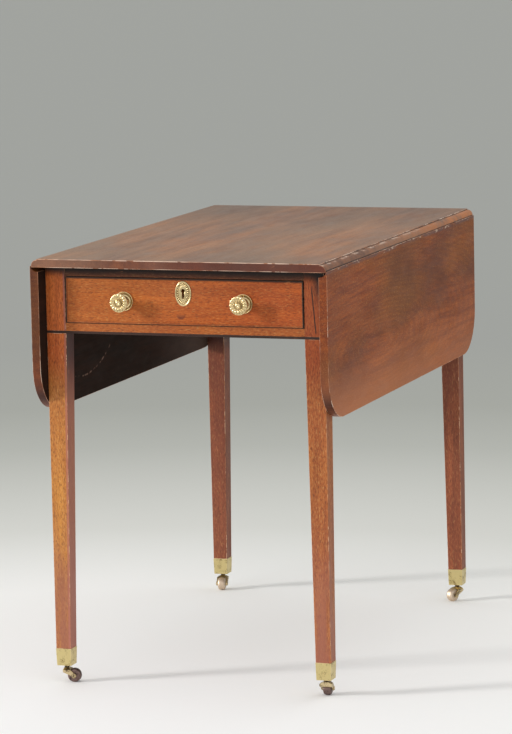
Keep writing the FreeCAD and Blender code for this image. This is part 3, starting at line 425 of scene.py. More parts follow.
def markInside(tree, here, colour):  # the left front leg's inner side is purplish, and painted shade with some dirt darkens it under the frame
    x, _, z = spotOf(tree, here)
    up = minus(tree, z, legShade["low"])
    share = calc(tree, "MINIMUM", calc(tree, "DIVIDE", up, legShade["high"] - legShade["low"]), 1.0)
    side = calc(tree, "MULTIPLY_ADD", share, legShade["top"] - legShade["foot"], legShade["foot"])
    inward = minus(tree, x, side)
    strip = span(tree, inward, *legShade["strip"])
    colour = coat(tree, colour, legShade["tone"], strip, legShade["share"])
    # painted shade, with some dirt, close under the frame
    inner = span(tree, inward, *legShade["inner"])
    return tint(tree, colour, legShade["shade"], inner, span(tree, z, *legShade["dark"]))


def markRearShade(tree, here, colour):  # painted shade: the inner faces of the rear legs are darkened close under the frame
    x, y, z = spotOf(tree, here)
    inner = calc(tree, "MAXIMUM", calc(tree, "LESS_THAN", y, rearShade["y"]),
                 calc(tree, "LESS_THAN", calc(tree, "ABSOLUTE", x), rearShade["x"]))
    return tint(tree, colour, rearShade["tone"], inner, span(tree, z, *rearShade["z"]))


def markRule(tree, here, colour):  # a rounding bright only at the back, chips on it, and painted shade in the gap and the quirk
    x, y, z = spotOf(tree, here)
    outer = calc(tree, "GREATER_THAN", calc(tree, "ABSOLUTE", x), ruleJoint["side"])
    side = product(tree, outer, calc(tree, "LESS_THAN", faceValue(tree, "endGrain"), 0.5))
    below = product(tree, side, span(tree, z, *ruleJoint["below"]))
    patches = span(tree, noise(tree, here, 18.0, detail=4.0, rough=0.6), *ruleJoint["patches"])
    toBack = span(tree, y, *ruleJoint["brightY"])
    colour = coat(tree, colour, ruleJoint["bright"], below, toBack, patches)
    toFront = span(tree, y, *ruleJoint["dullY"])
    colour = coat(tree, colour, ruleJoint["dull"], below, toFront, ruleJoint["dullShare"])
    dashes = span(tree, noise(tree, here, 120.0, rough=0.6, stretch=(1, 0.3, 1)), *ruleJoint["dashes"])
    chipped = span(tree, y, *ruleJoint["chipY"], *ruleJoint["chipShares"])
    colour = coat(tree, colour, ruleJoint["chip"], below, span(tree, z, *ruleJoint["chipZ"]), dashes, chipped)
    # painted shade in the gap under the rounding and in the quirk above it
    gap = span(tree, z, *ruleJoint["gap"])
    colour = coat(tree, colour, ruleJoint["dirt"], below, gap, ruleJoint["dirtShare"])
    quirk = span(tree, z, *ruleJoint["quirk"])
    return coat(tree, colour, ruleJoint["dirt"], side, quirk, ruleJoint["dirtShare"])


def markBack(tree, here, colour):  # the top is a little darker towards the back
    return tint(tree, colour, topBack["tone"], span(tree, spotOf(tree, here)[1], *topBack["y"]))


def markGapShade(tree, here, colour):  # painted shade: the bead's outer side is darkened along the gap, and softly just below the rail
    x, _, z = spotOf(tree, here)
    sides = span(tree, calc(tree, "ABSOLUTE", x), *drawerGapShade["x"])
    above = span(tree, z, *drawerGapShade["above"])
    below = span(tree, z, *drawerGapShade["below"])
    dirt = calc(tree, "MAXIMUM", sides, calc(tree, "MAXIMUM", above, below))
    return coat(tree, colour, drawerGapShade["tone"], dirt, drawerGapShade["share"])


def markTint(tree, here, colour):  # the drawer front is yellower at its left end and redder at its right
    across = span(tree, spotOf(tree, here)[0], *drawerTint["x"])
    return tint(tree, colour, blendTone(tree, across, drawerTint["left"], drawerTint["right"]), 1.0)


def markDent(tree, here, colour):  # a half-moon bruise under the keyhole
    x, y, z = spotOf(tree, here)
    across = minus(tree, x, drawerDent["x"])
    down = minus(tree, drawerDent["z"], z)
    disc = span(tree, distance(tree, across, down), *drawerDent["rim"])
    lower = span(tree, down, *drawerDent["upperEdge"])
    deep = span(tree, down, *drawerDent["down"], *drawerDent["depth"])
    front = calc(tree, "LESS_THAN", y, drawerDent["front"])
    return coat(tree, colour, drawerDent["tone"], disc, lower, deep, front)


def markSplit(tree, here, colour):  # a crack down the right front leg's head, and a dark patch in the head's upper outer corner
    x, y, z = spotOf(tree, here)
    (topX, topZ), (lowX, lowZ) = legSplit["top"], legSplit["low"]
    lean = (lowX - topX) / (lowZ - topZ)
    line = calc(tree, "MULTIPLY_ADD", minus(tree, z, topZ), lean, topX)
    waver = minus(tree, noise(tree, here, 60.0, detail=2.0), 0.5)
    waved = calc(tree, "MULTIPLY_ADD", waver, legSplit["waver"], line)
    crack = span(tree, calc(tree, "ABSOLUTE", minus(tree, x, waved)), *legSplit["rim"])
    tall = product(tree, span(tree, z, *legSplit["topFade"]), span(tree, z, *legSplit["lowFade"]))
    front = calc(tree, "LESS_THAN", y, legSplit["front"])
    cornerX = span(tree, x, *legSplit["cornerX"])
    cornerZ = span(tree, z, *legSplit["cornerZ"])
    corner = product(tree, cornerX, cornerZ, legSplit["cornerShare"])
    dark = calc(tree, "MAXIMUM", product(tree, crack, tall, front), corner)
    return coat(tree, colour, legSplit["tone"], dark)


def markPatch(tree, here, colour):  # an old stain across the upper middle of a leaf, and a paler hem below
    _, y, z = spotOf(tree, here)
    wide, tall = leafPatch["reach"]
    aside = minus(tree, y, leafPatch["y"])
    along = calc(tree, "DIVIDE", aside, wide)
    slope = calc(tree, "MULTIPLY_ADD", aside, leafPatch["slope"], leafPatch["z"])
    up = calc(tree, "DIVIDE", minus(tree, z, slope), tall)
    cloud = noise(tree, here, 15.0, detail=5.0, rough=0.65, stretch=(1, 0.5, 1))
    ragged = calc(tree, "MULTIPLY_ADD", cloud, leafPatch["ragged"], distance(tree, along, up))
    colour = coat(tree, colour, leafPatch["tone"], span(tree, ragged, *leafPatch["rim"]), leafPatch["share"])
    toFront = span(tree, y, *leafHem["y"], *leafHem["alongShares"])
    return coat(tree, colour, leafHem["tone"], span(tree, z, *leafHem["z"]), toFront, leafHem["share"])


def markLip(tree, here, colour):  # a leaf's upper lip is worn grey and chipped, and painted shade darkens its rounded lower corner
    z = spotOf(tree, here)[2]
    lip = span(tree, z, *leafLip["z"])
    rubs = noise(tree, here, 40.0, detail=4.0, rough=0.6, stretch=leafLip["stretch"])
    colour = coat(tree, colour, leafLip["tone"], lip, span(tree, rubs, *leafLip["worn"]), leafLip["share"])
    nicks = noise(tree, here, 130.0, rough=0.6, stretch=leafLip["stretch"])
    chips = span(tree, nicks, *leafLip["nicks"])
    colour = coat(tree, colour, leafLip["chip"], lip, chips, leafLip["nickShare"])
    low = span(tree, z, *leafCornerShade["z"])
    return tint(tree, colour, leafCornerShade["tone"], low, faceValue(tree, "endGrain"))


def markFigure(tree, here, colour):  # the long loops of a flat-sawn board
    deep, flat = leafFigure["deep"], leafFigure["flat"]
    middle = (0, -flat * leafFigure["y"] * mm, -leafFigure["z"] * mm)
    centred = mapped(tree, here, Location=middle, Scale=(deep, flat, 1))
    rings = {
        "Vector": centred, "Scale": leafFigure["scale"], "Distortion": 5.0, "Detail": 3.0,
        "Detail Scale": 0.8}
    loops = place(tree, "TexWave", rings, wave_type="RINGS", rings_direction="X").outputs["Fac"]
    return coat(tree, colour, leafFigure["tone"], loops, leafFigure["share"])


def markRubs(tree, here, colour):  # a leaf's inside: a painted sheen makes it paler at the back, with the arc a fly bracket scraped
    _, y, z = spotOf(tree, here)
    toBack = span(tree, y, *leafInsideSheen["y"])
    colour = coat(tree, colour, leafInsideSheen["tone"], toBack, leafInsideSheen["share"])
    side = minus(tree, y, bracketRub["pin"])
    drop = minus(tree, z, bracketRub["level"])
    away = minus(tree, distance(tree, side, drop), bracketRub["radius"])
    arc = span(tree, calc(tree, "ABSOLUTE", away), *bracketRub["rim"])
    dashes = span(tree, noise(tree, here, 70.0), *bracketRub["dashes"])
    end = span(tree, z, *bracketRub["end"])
    return coat(tree, colour, bracketRub["tone"], arc, dashes, end, bracketRub["share"])


legLook = {
    "grain": "z", "light": tone(180, 106, 50), "dark": tone(146, 78, 34), "streaks": 80.0,
    "cloud": tone(152, 76, 38), "cloudShare": 0.55, "clouds": 9.0, "pore": tone(84, 40, 22), "pores": 840.0,
    "poreShare": 0.62, "bloom": tone(184, 116, 62), "bloomShare": 0.25, "rubbed": tone(206, 140, 92),
    "chipped": tone(226, 184, 150), "rub": 0.6, "chip": 0.6, "roughness": (0.4, 0.56), "specular": 0.35,
    "specks": (0.27, 0.6), "marks": (headToneAndShade((0.81, 0.53, 0.42)), markFoot, markSplit, markShadeAndGrime)}
frontLook = {
    "grain": "x", "light": tone(186, 96, 31), "dark": tone(150, 72, 23), "streaks": 70.0,
    "cloud": tone(150, 67, 25), "cloudShare": 0.55, "clouds": 8.0, "pore": tone(88, 42, 20), "pores": 860.0,
    "poreShare": 0.62, "bloom": tone(194, 110, 46), "bloomShare": 0.35, "rubbed": tone(200, 126, 70),
    "chipped": tone(214, 160, 116), "chip": 0.2, "roughness": (0.38, 0.54), "specular": 0.35,
    "specks": (0.2, 0.52)}
rawLook = {
    "grain": "y", "light": tone(50, 30, 21), "dark": tone(33, 20, 14), "streaks": 70.0,
    "cloud": tone(30, 19, 14), "cloudShare": 0.6, "clouds": 6.0, "pore": tone(22, 13, 10), "pores": 400.0,
    "poreShare": 0.5, "bloom": tone(52, 35, 26), "bloomShare": 0.35, "rubbed": tone(96, 62, 42),
    "chipped": tone(120, 86, 62), "rub": 0.4, "chip": 0.1, "roughness": (0.7, 0.88), "specular": 0.12,
    "bump": 0.3, "scratch": 0.1}
woods = {
    "topMahogany": {
        "grain": "y", "light": tone(176, 115, 73), "dark": tone(138, 87, 59), "streaks": 46.0,
        "cloud": tone(116, 94, 82), "cloudShare": 0.8, "clouds": 4.2, "pore": tone(84, 46, 30),
        "pores": 520.0, "poreShare": 0.5, "poreDepth": 0.35, "bloom": tone(168, 138, 113), "bloomShare": 0.4,
        "end": (0.35, 0.13, 0.09, 1.0), "endAcross": (-235, 80, 0.5, 0.95), "marks": (markBack, markRule),
        "rubbed": tone(188, 120, 76), "chipped": tone(226, 194, 172), "rub": 0.8, "chip": 0.9,
        "roughness": (0.3, 0.46), "scratch": 0.2, "specks": (0.12, 0.3)},
    "leafMahogany": {
        "grain": "y", "light": tone(174, 88, 32), "dark": tone(130, 56, 22), "streaks": 84.0,
        "cloud": tone(98, 44, 27), "cloudShare": 0.75, "clouds": 7.0, "pore": tone(84, 42, 26),
        "pores": 520.0, "poreShare": 0.5, "poreDepth": 0.25, "bloom": tone(164, 103, 44), "bloomShare": 0.5,
        "rubbed": tone(194, 140, 108), "chipped": tone(232, 204, 182), "rub": 0.85, "chip": 0.72,
        "end": (0.42, 0.38, 0.46, 1.0), "endAcross": (-250, 250, 0.98, 0.45), "roughness": (0.44, 0.6),
        "specular": 0.25, "scratch": 0.06, "bump": 0.04, "specks": (0.2, 0.55),
        "marks": (markFigure, markPatch, markLip)},
    "drawerMahogany": {**frontLook, "marks": (markTint, markDent)},
    "railMahogany": {
        **frontLook, "light": tone(174, 94, 29), "dark": tone(140, 70, 21), "marks": (markShadeAndGrime,)},
    # the top rail's darker copy of the rail finish: partly a darker tone, partly painted shade under the
    # top's overhang
    "shadedRailMahogany": {
        **frontLook, "light": tone(134, 68, 32), "dark": tone(108, 52, 25), "cloud": tone(100, 46, 25),
        "bloom": tone(130, 76, 46), "marks": (markShadeAndGrime,)},
    "beadMahogany": {
        **frontLook, "light": tone(172, 92, 38), "dark": tone(138, 68, 28), "marks": (markGapShade,)},
    "legMahogany": legLook,
    "paleLegMahogany": {
        **legLook, "light": tone(201, 135, 59), "dark": tone(168, 102, 41), "cloud": tone(172, 99, 45),
        "marks": (headToneAndShade((1.1, 0.65, 0.66)), markFoot, markInside, markShadeAndGrime)},
    # a darker copy of the leg finish for the rear legs: painted shade, as they stand further from the light
    "shadedLegMahogany": {
        **legLook, "light": tone(149, 79, 46), "dark": tone(116, 57, 34), "cloud": tone(112, 53, 37),
        "bloom": tone(142, 84, 60), "specks": (0.13, 0.55),
        "marks": (headToneAndShade((0.78, 0.76, 0.85)), markRearShade, markShadeAndGrime)},
    "rawMahogany": {**rawLook, "marks": (markRubs,)},
    "oakDrawer": {
        **rawLook, "light": tone(178, 140, 92), "dark": tone(140, 102, 62), "streaks": 75.0,
        "cloud": tone(120, 88, 56), "cloudShare": 0.45, "clouds": 7.0, "pore": tone(92, 64, 38),
        "pores": 480.0, "poreShare": 0.62, "bloom": tone(120, 92, 64), "rubbed": tone(196, 160, 112),
        "chipped": tone(206, 176, 132)},
    "pineRail": {
        **rawLook, "light": tone(150, 108, 66), "dark": tone(108, 72, 42), "streaks": 44.0,
        "cloud": tone(92, 64, 40), "cloudShare": 0.5, "pore": tone(78, 50, 30), "pores": 420.0,
        "poreShare": 0.4, "bloom": tone(88, 66, 46), "rubbed": tone(170, 130, 88),
        "chipped": tone(184, 146, 102)},
    "beechBracket": {
        **rawLook, "light": tone(140, 96, 60), "dark": tone(108, 70, 44), "streaks": 85.0,
        "cloud": tone(92, 62, 40), "cloudShare": 0.4, "clouds": 8.0, "pore": tone(76, 48, 30), "pores": 700.0,
        "bloom": tone(90, 66, 48), "rubbed": tone(170, 126, 88), "chipped": tone(184, 144, 104)},
    "darkInlay": {
        **frontLook, "light": tone(62, 34, 25), "dark": tone(36, 20, 15), "streaks": 110.0,
        "specks": (0.0, 0.3), "cloud": tone(24, 15, 11), "cloudShare": 0.4, "clouds": 14.0,
        "pore": tone(14, 9, 8), "bloom": tone(74, 46, 32), "bloomShare": 0.3, "rubbed": tone(96, 62, 44),
        "chipped": tone(120, 82, 60)},
}

metals = {
    "giltBrass": {
        "bright": tone(230, 206, 156), "tarnish": tone(116, 88, 48), "rubbed": tone(246, 230, 182),
        "age": 0.4, "roughness": (0.26, 0.48), "bump": 0.25},
    "casterBrass": {
        "bright": tone(212, 194, 138), "tarnish": tone(136, 114, 70), "rubbed": tone(240, 226, 178),
        "age": 0.64, "roughness": (0.34, 0.56), "bump": 0.35},
    "hornBrass": {
        "bright": tone(210, 190, 148), "tarnish": tone(60, 44, 34), "rubbed": tone(226, 204, 158),
        "age": 0.7, "roughness": (0.34, 0.6), "bump": 0.4},
    "wheelBrass": {
        "bright": tone(124, 102, 96), "tarnish": tone(72, 56, 54), "rubbed": tone(164, 140, 128),
        "age": 0.7, "roughness": (0.38, 0.62), "metallic": 0.9, "bump": 0.4},
    "paleWheelBrass": {
        "bright": tone(214, 194, 172), "tarnish": tone(140, 118, 104), "rubbed": tone(236, 220, 200),
        "age": 0.5, "roughness": (0.5, 0.68), "metallic": 0.9, "bump": 0.4},
    "lockBrass": {
        "bright": tone(190, 160, 100), "tarnish": tone(104, 82, 48), "rubbed": tone(214, 188, 130),
        "age": 0.6, "roughness": (0.36, 0.6), "bump": 0.3},
    "darkIron": {
        "bright": tone(86, 78, 72), "tarnish": tone(62, 44, 34), "rubbed": tone(128, 120, 112),
        "age": 0.75, "roughness": (0.48, 0.72), "metallic": 0.8, "bump": 0.5},
}

finishes = {name: woodFinish(name, look) for name, look in woods.items()}
finishes.update({name: brassFinish(name, look) for name, look in metals.items()})
print("finishes made:", len(finishes))


# pieces

def pieceName(node):
    first, *rest = node.split("_")
    return first + "".join(word.capitalize() for word in rest)


def meshOf(name, bm):
    mesh = bpy.data.meshes.new(name)
    bm.to_mesh(mesh)
    bm.free()
    return mesh


def newObject(name, data):
    made = bpy.data.objects.new(name, data)
    bpy.context.scene.collection.objects.link(made)
    return made


def finishPiece(name, bm, nodes, finishNames):
    mesh = meshOf(name, bm)
    piece = newObject(name, mesh)
    for finishName in finishNames:
        mesh.materials.append(finishes[finishName])
    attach(piece, frame["nodes"][nodes[0]]["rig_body"])
    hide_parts(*nodes)
    return piece


def shadeByAngle(bm, degrees):
    limit = math.radians(degrees)
    for face in bm.faces:
        face.smooth = True
    for edge in bm.edges:
        if len(edge.link_faces) != 2 or edge.calc_face_angle(0) > limit:
            edge.smooth = False


easing = {  # angles are in degrees
    "merge": 0.002 * mm, "flat": 0.3, "sharp": 35, "shade": 32, "segments": 2, "facing": 0.9,
    "endFactor": 1.3}


def softened(node, look):  # a copy of the solid with its arrises eased, which the wear measure marks
    bm = bmesh.new()
    bm.from_mesh(frame["nodes"][node].data)
    bmesh.ops.remove_doubles(bm, verts=bm.verts, dist=easing["merge"])
    bmesh.ops.dissolve_limit(bm, angle_limit=math.radians(easing["flat"]), verts=bm.verts, edges=bm.edges)
    wear = bm.faces.layers.float.new("wear")
    across = bm.faces.layers.float.new("endGrain")
    dirty = bm.faces.layers.float.new("hollow")
    finish = look["finish"]
    grain = grainAxes[woods[finish]["grain"]] if finish in woods else Vector()
    for face in bm.faces:
        inner = "under" in look and face.normal.dot(Vector(look["under"])) > easing["facing"]
        face.material_index = 1 if inner else 0
        face[across] = min(1.0, easing["endFactor"] * abs(face.normal.dot(grain)))
        face[wear] = look["curveWear"](face) if "curveWear" in look else 0.0
        face[dirty] = look["dirt"](face) if "dirt" in look else 0.0
    sharp = math.radians(easing["sharp"])
    for ease, chosen, worn in look["passes"]:
        arrises = [
            edge for edge in bm.edges
            if len(edge.link_faces) == 2 and edge.calc_face_angle_signed(0) > sharp
            and edge.calc_length() > look["shortest"] * mm and (chosen is None or chosen(edge))]
        made = bmesh.ops.bevel(
            bm, geom=arrises, offset=ease * mm, offset_type="OFFSET",
            segments=look.get("segments", easing["segments"]), profile=0.5, affect="EDGES",
            clamp_overlap=chosen is None, material=-1)
        for face in made["faces"]:
            face[wear] = worn
            face.material_index = 0
    shadeByAngle(bm, easing["shade"])
    finishNames = [finish, look["inside"]] if "inside" in look else [finish]
    piece = finishPiece(pieceName(node), bm, [node], finishNames)
    weighted = piece.modifiers.new("evenNormals", "WEIGHTED_NORMAL")
    weighted.keep_sharp = True


near = 0.2 * mm
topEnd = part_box("top_board")[1].y - near
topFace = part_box("top_board")[1].z - near
ruleStart = 241.5 * mm
ruleCurve = {"lean": (0.05, 0.99), "lowest": -0.2, "wear": 0.55}
neckFoot = 24.8 * mm


def ruleWear(face):  # the quarter-round along the top's long edges is rubbed by the leaves
    least, most = ruleCurve["lean"]
    curved = least < abs(face.normal.x) < most and face.normal.z > ruleCurve["lowest"]
    return ruleCurve["wear"] if curved else 0.0


def darkNeck(face):  # the horn's neck, close under the cup, is made nearly black through the hollow measure
    return 1.0 if face.calc_center_median().z > neckFoot else 0.0


def onTopEnd(edge):  # the upper arris across the front and the back of the top
    return all(abs(vert.co.y) > topEnd and vert.co.z > topFace for vert in edge.verts)


def onTopSide(edge):  # the arris of the quirk along the rule joint
    return all(vert.co.z > topFace for vert in edge.verts) and not onTopEnd(edge)


def onRuleEnd(edge):  # the profile of the rule joint on the ends of the top
    return all(
        abs(vert.co.y) > topEnd and abs(vert.co.x) > ruleStart and vert.co.z < topFace for vert in edge.verts)


def eased(finishName, ease, shortest, **more):  # every arris longer than the shortest, in millimetres
    return {"finish": finishName, "passes": [(ease, None, 1.0)], "shortest": shortest, **more}


easedPieces = {
    "top_board": {
        "finish": "topMahogany", "inside": "rawMahogany", "under": (0, 0, -1), "shortest": 0.5,
        "curveWear": ruleWear,
        "passes": [(1.0, onTopEnd, 1.0), (0.4, onTopSide, 0.0), (0.9, onRuleEnd, 1.0)]},
    "left_leaf": eased("leafMahogany", 1.2, 3, inside="rawMahogany", under=(1, 0, 0)),
    "right_leaf": eased("leafMahogany", 1.2, 3, inside="rawMahogany", under=(-1, 0, 0)),
    "drawer_front": eased("drawerMahogany", 0.3, 30),
    "drawer_cockbead": eased("beadMahogany", 1.1, 20, segments=3),
    "rear_cockbead": eased("beadMahogany", 1.1, 20, segments=3),
    "drawer_top_rail": eased("shadedRailMahogany", 0.5, 20),
    "drawer_bottom_rail": eased("railMahogany", 0.6, 20),
    "rear_rail": eased("railMahogany", 0.5, 20),
    "frieze_stringing": eased("darkInlay", 0.15, 4),
    "caster_cups": eased("casterBrass", 0.5, 6),
    "lock_case": eased("lockBrass", 0.3, 9),
    "lock_bolt": eased("lockBrass", 0.5, 4),
    "knob_nuts": eased("lockBrass", 0.3, 0.2),
    "hinge_top_plates": eased("darkIron", 0.3, 9),
    "hinge_pins": eased("darkIron", 0.2, 0.2),
    "fly_bracket_pins": eased("darkIron", 0.4, 0.2),
}
frontLegs = {"front_left": "paleLegMahogany", "front_right": "legMahogany"}
for corner in ("front_left", "front_right", "rear_left", "rear_right"):
    wheelFinish = "wheelBrass" if corner in frontLegs else "paleWheelBrass"
    easedPieces.update({
        corner + "_leg": eased(frontLegs.get(corner, "shadedLegMahogany"), 0.9, 20),
        corner + "_fly_bracket": eased("beechBracket", 0.8, 12),
        corner + "_caster_horn": eased("hornBrass", 0.3, 0.6, dirt=darkNeck),
        corner + "_caster_axle": eased("hornBrass", 0.3, 0.2),
        corner + "_caster_wheel": eased(wheelFinish, 0.4, 0.2)})
for side in ("left", "right"):
    easedPieces.update({
        side + "_inner_rail": eased("pineRail", 0.6, 12),
        side + "_bracket_rail": eased("beechBracket", 0.6, 20),
        side + "_leaf_hinge_plates": eased("darkIron", 0.3, 9),
        side + "_leaf_hinge_screws": eased("darkIron", 0.2, 2),
        "drawer_%s_side" % side: eased("oakDrawer", 0.4, 20)})
for node in ("drawer_back", "drawer_bottom"):
    easedPieces[node] = eased("oakDrawer", 0.4, 20)
for node in ("drawer_runners", "drawer_kickers"):
    easedPieces[node] = eased("pineRail", 0.4, 20)
for node in ("hinge_top_screws", "top_holding_screws"):
    easedPieces[node] = eased("darkIron", 0.2, 2)

for node, look in easedPieces.items():
    softened(node, look)
print("eased pieces made:", len(easedPieces))


# turned and embossed brass: each is drawn standing on its base, then turned to its place

brassShade = 40  # degrees
brassMerge = 0.005 * mm


def turns(count, start=0.0):  # angles evenly round a circle
    return [start + 2 * math.pi * index / count for index in range(count)]


def turnedShape(bm, profile, steps, hollowOf):
    hollow = bm.faces.layers.float.new("hollow")
    points = [bm.verts.new((radius * mm, 0, height * mm)) for radius, height in profile]
    line = [bm.edges.new(pair) for pair in zip(points, points[1:])]
    bmesh.ops.spin(
        bm, geom=points + line, axis=(0, 0, 1), cent=(0, 0, 0), angle=2 * math.pi, steps=steps,
        use_merge=True, use_duplicate=False)
    bmesh.ops.remove_doubles(bm, verts=bm.verts, dist=brassMerge)
    bmesh.ops.recalc_face_normals(bm, faces=bm.faces)
    for face in bm.faces:
        middle = face.calc_center_median()
        face[hollow] = hollowOf(middle.xy.length / mm, middle.z / mm)


def addLump(bm, where, sizes, turn=0.0, fine=(8, 5)):  # a small rounded boss: bead, petal or leaf
    matrix = Matrix.Translation(where) @ Matrix.Rotation(turn, 4, "Z") @ Matrix.Diagonal((*sizes, 1.0))
    bmesh.ops.create_uvsphere(bm, u_segments=fine[0], v_segments=fine[1], radius=mm, matrix=matrix)


def addRing(bm, count, radius, height, sizes, fine=(8, 5), start=0.0):
    for angle in turns(count, start):
        where = Vector((radius * math.cos(angle), radius * math.sin(angle), height)) * mm
        addLump(bm, where, sizes, angle, fine)


def standAt(bm, point, outward):  # local Z becomes the outward direction
    turn = Vector((0, 0, 1)).rotation_difference(outward).to_matrix().to_4x4()
    bmesh.ops.transform(bm, matrix=Matrix.Translation(point) @ turn, verts=bm.verts)


knobLook = {
    "profile": [
        (0, -24), (2.5, -24), (2.5, 2.9), (8.4, 3), (8.8, 3.8), (8.0, 4.8), (7.4, 6.2), (7.2, 10),
        (7.3, 15.5), (8.2, 18.4), (10.2, 20.4), (12.8, 21.4), (14.4, 22.0), (15.2, 22.9), (15.4, 23.8),
        (15.1, 24.7), (14.2, 25.1), (10.0, 25.4), (7.4, 25.0), (6.4, 24.6), (5.6, 24.9), (5.1, 26.2),
        (4.5, 27.7), (3.5, 28.7), (2.3, 29.2), (1.4, 29.1), (0.9, 28.6), (0, 28.5)],
    "steps": 56, "petals": 16, "petalRadius": 11.6, "petalHeight": 25.1, "petalSize": (3.8, 2.15, 0.9),
    "petalFine": (14, 8), "pipRadius": 7.9, "pipSize": (0.9, 0.9, 0.9),
    "face": 24.4, "pits": (5.2, 14.6), "pitDirt": 0.6, "stem": 13, "stemDirt": 0.4, "rimDirt": 0.1,
}
roseLook = {
    "profile": [
        (2.5, 0), (16, 0), (16, 1.0), (15.6, 1.8), (14.9, 2.0), (14.2, 1.6), (13.6, 0.8), (12.5, 0.8),
        (11.9, 1.7), (11.0, 2.5), (10.2, 2.8), (8.6, 3), (2.5, 3), (2.5, 0)],
    "steps": 56, "groove": (12.2, 14.0), "grooveFloor": 0.4, "grooveDirt": 0.6, "faceDirt": 0.1,
}


def hollowOfKnob(radius, height):  # the ring round the boss and the pits between the petals keep the dirt
    inner, outer = knobLook["pits"]
    if height > knobLook["face"]:
        return knobLook["pitDirt"] if inner < radius < outer else 0.0
    return knobLook["stemDirt"] if radius < knobLook["stem"] else knobLook["rimDirt"]


def hollowOfRose(radius, height):  # the groove round the rose keeps the dirt
    inner, outer = roseLook["groove"]
    inGroove = inner < radius < outer and height > roseLook["grooveFloor"]
    return roseLook["grooveDirt"] if inGroove else roseLook["faceDirt"]


def addKnob(bm):
    turnedShape(bm, knobLook["profile"], knobLook["steps"], hollowOfKnob)
    count, height = knobLook["petals"], knobLook["petalHeight"]
    addRing(bm, count, knobLook["petalRadius"], height, knobLook["petalSize"], knobLook["petalFine"])
    addRing(bm, count, knobLook["pipRadius"], height, knobLook["pipSize"], start=math.pi / count)


def addRose(bm):
    turnedShape(bm, roseLook["profile"], roseLook["steps"], hollowOfRose)


def brassGroup(node, places, outward, addShape, finishName):
    whole = bmesh.new()
    for point in places:
        bm = bmesh.new()
        addShape(bm)
        standAt(bm, point, outward)
        mesh = meshOf("one", bm)
        whole.from_mesh(mesh)
        bpy.data.meshes.remove(mesh)
    shadeByAngle(whole, brassShade)
    finishPiece(pieceName(node), whole, [node], [finishName])


def middleOf(node):
    low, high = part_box(node)
    return (low + high) / 2


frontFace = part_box("knob_roses")[1].y
knobSpread = middleOf("right_knob").x
knobLevel = middleOf("right_knob").z
frontKnobs = {"left_knob": -knobSpread, "right_knob": knobSpread}
outFront, outRear = Vector((0, -1, 0)), Vector((0, 1, 0))
for node, x in frontKnobs.items():
    brassGroup(node, [Vector((x, frontFace, knobLevel))], outFront, addKnob, "giltBrass")
frontPlaces = [Vector((x, frontFace, knobLevel)) for x in frontKnobs.values()]
rearPlaces = [Vector((x, -frontFace, knobLevel)) for x in frontKnobs.values()]
brassGroup("knob_roses", frontPlaces, outFront, addRose, "giltBrass")
brassGroup("rear_knobs", rearPlaces, outRear, addKnob, "giltBrass")
brassGroup("rear_knob_roses", rearPlaces, outRear, addRose, "giltBrass")
print("knobs and roses made")


keyPlate = {
    "half": (14.0, 20.5), "segments": 72,
    "steps": [(0, 0.7), (0.5, 1.2), (1.2, 1.4), (2.0, 1.2), (2.5, 0.7), (3.2, 0.5), (6.8, 0.5), (7.3, 0.8)],
    "fieldFrom": 3.0, "fieldTo": 7.0, "fieldDirt": 0.85,
    "beads": 40, "beadInset": 1.4, "beadSize": 0.8, "beadHeight": 0.6,
    "rays": 26, "rayInset": 4.9, "raySize": (2.3, 0.85, 0.8), "rayHeight": 0.6, "rayLean": 0.6,
    "rayFine": (8, 4),
    "keyRadius": 2.8, "keyLift": 4.5, "slotHalf": 1.5, "slotLength": 12.5, "lip": 0.7, "lipDrop": 0.5,
}


def ovalPoint(angle, inset):
    halfX, halfZ = keyPlate["half"]
    return Vector(((halfX - inset) * math.cos(angle), (halfZ - inset) * math.sin(angle), 0))


def keyholePoint(angle, wider=0.0):  # a round hole with a slot below it, seen from the middle of the round
    outward = Vector((math.cos(angle), math.sin(angle), 0))
    reach = keyPlate["keyRadius"] + wider
    if outward.y < 0:
        toSide = (keyPlate["slotHalf"] + wider) / max(abs(outward.x), 0.001)
        reach = max(reach, min(toSide, (keyPlate["slotLength"] + wider) / -outward.y))
    return outward * reach + Vector((0, keyPlate["keyLift"], 0))


def plateRing(bm, points, height):
    verts = [bm.verts.new((point + Vector((0, 0, height))) * mm) for point in points]
    return [bm.edges.new((verts[index - 1], verts[index])) for index in range(len(verts))]


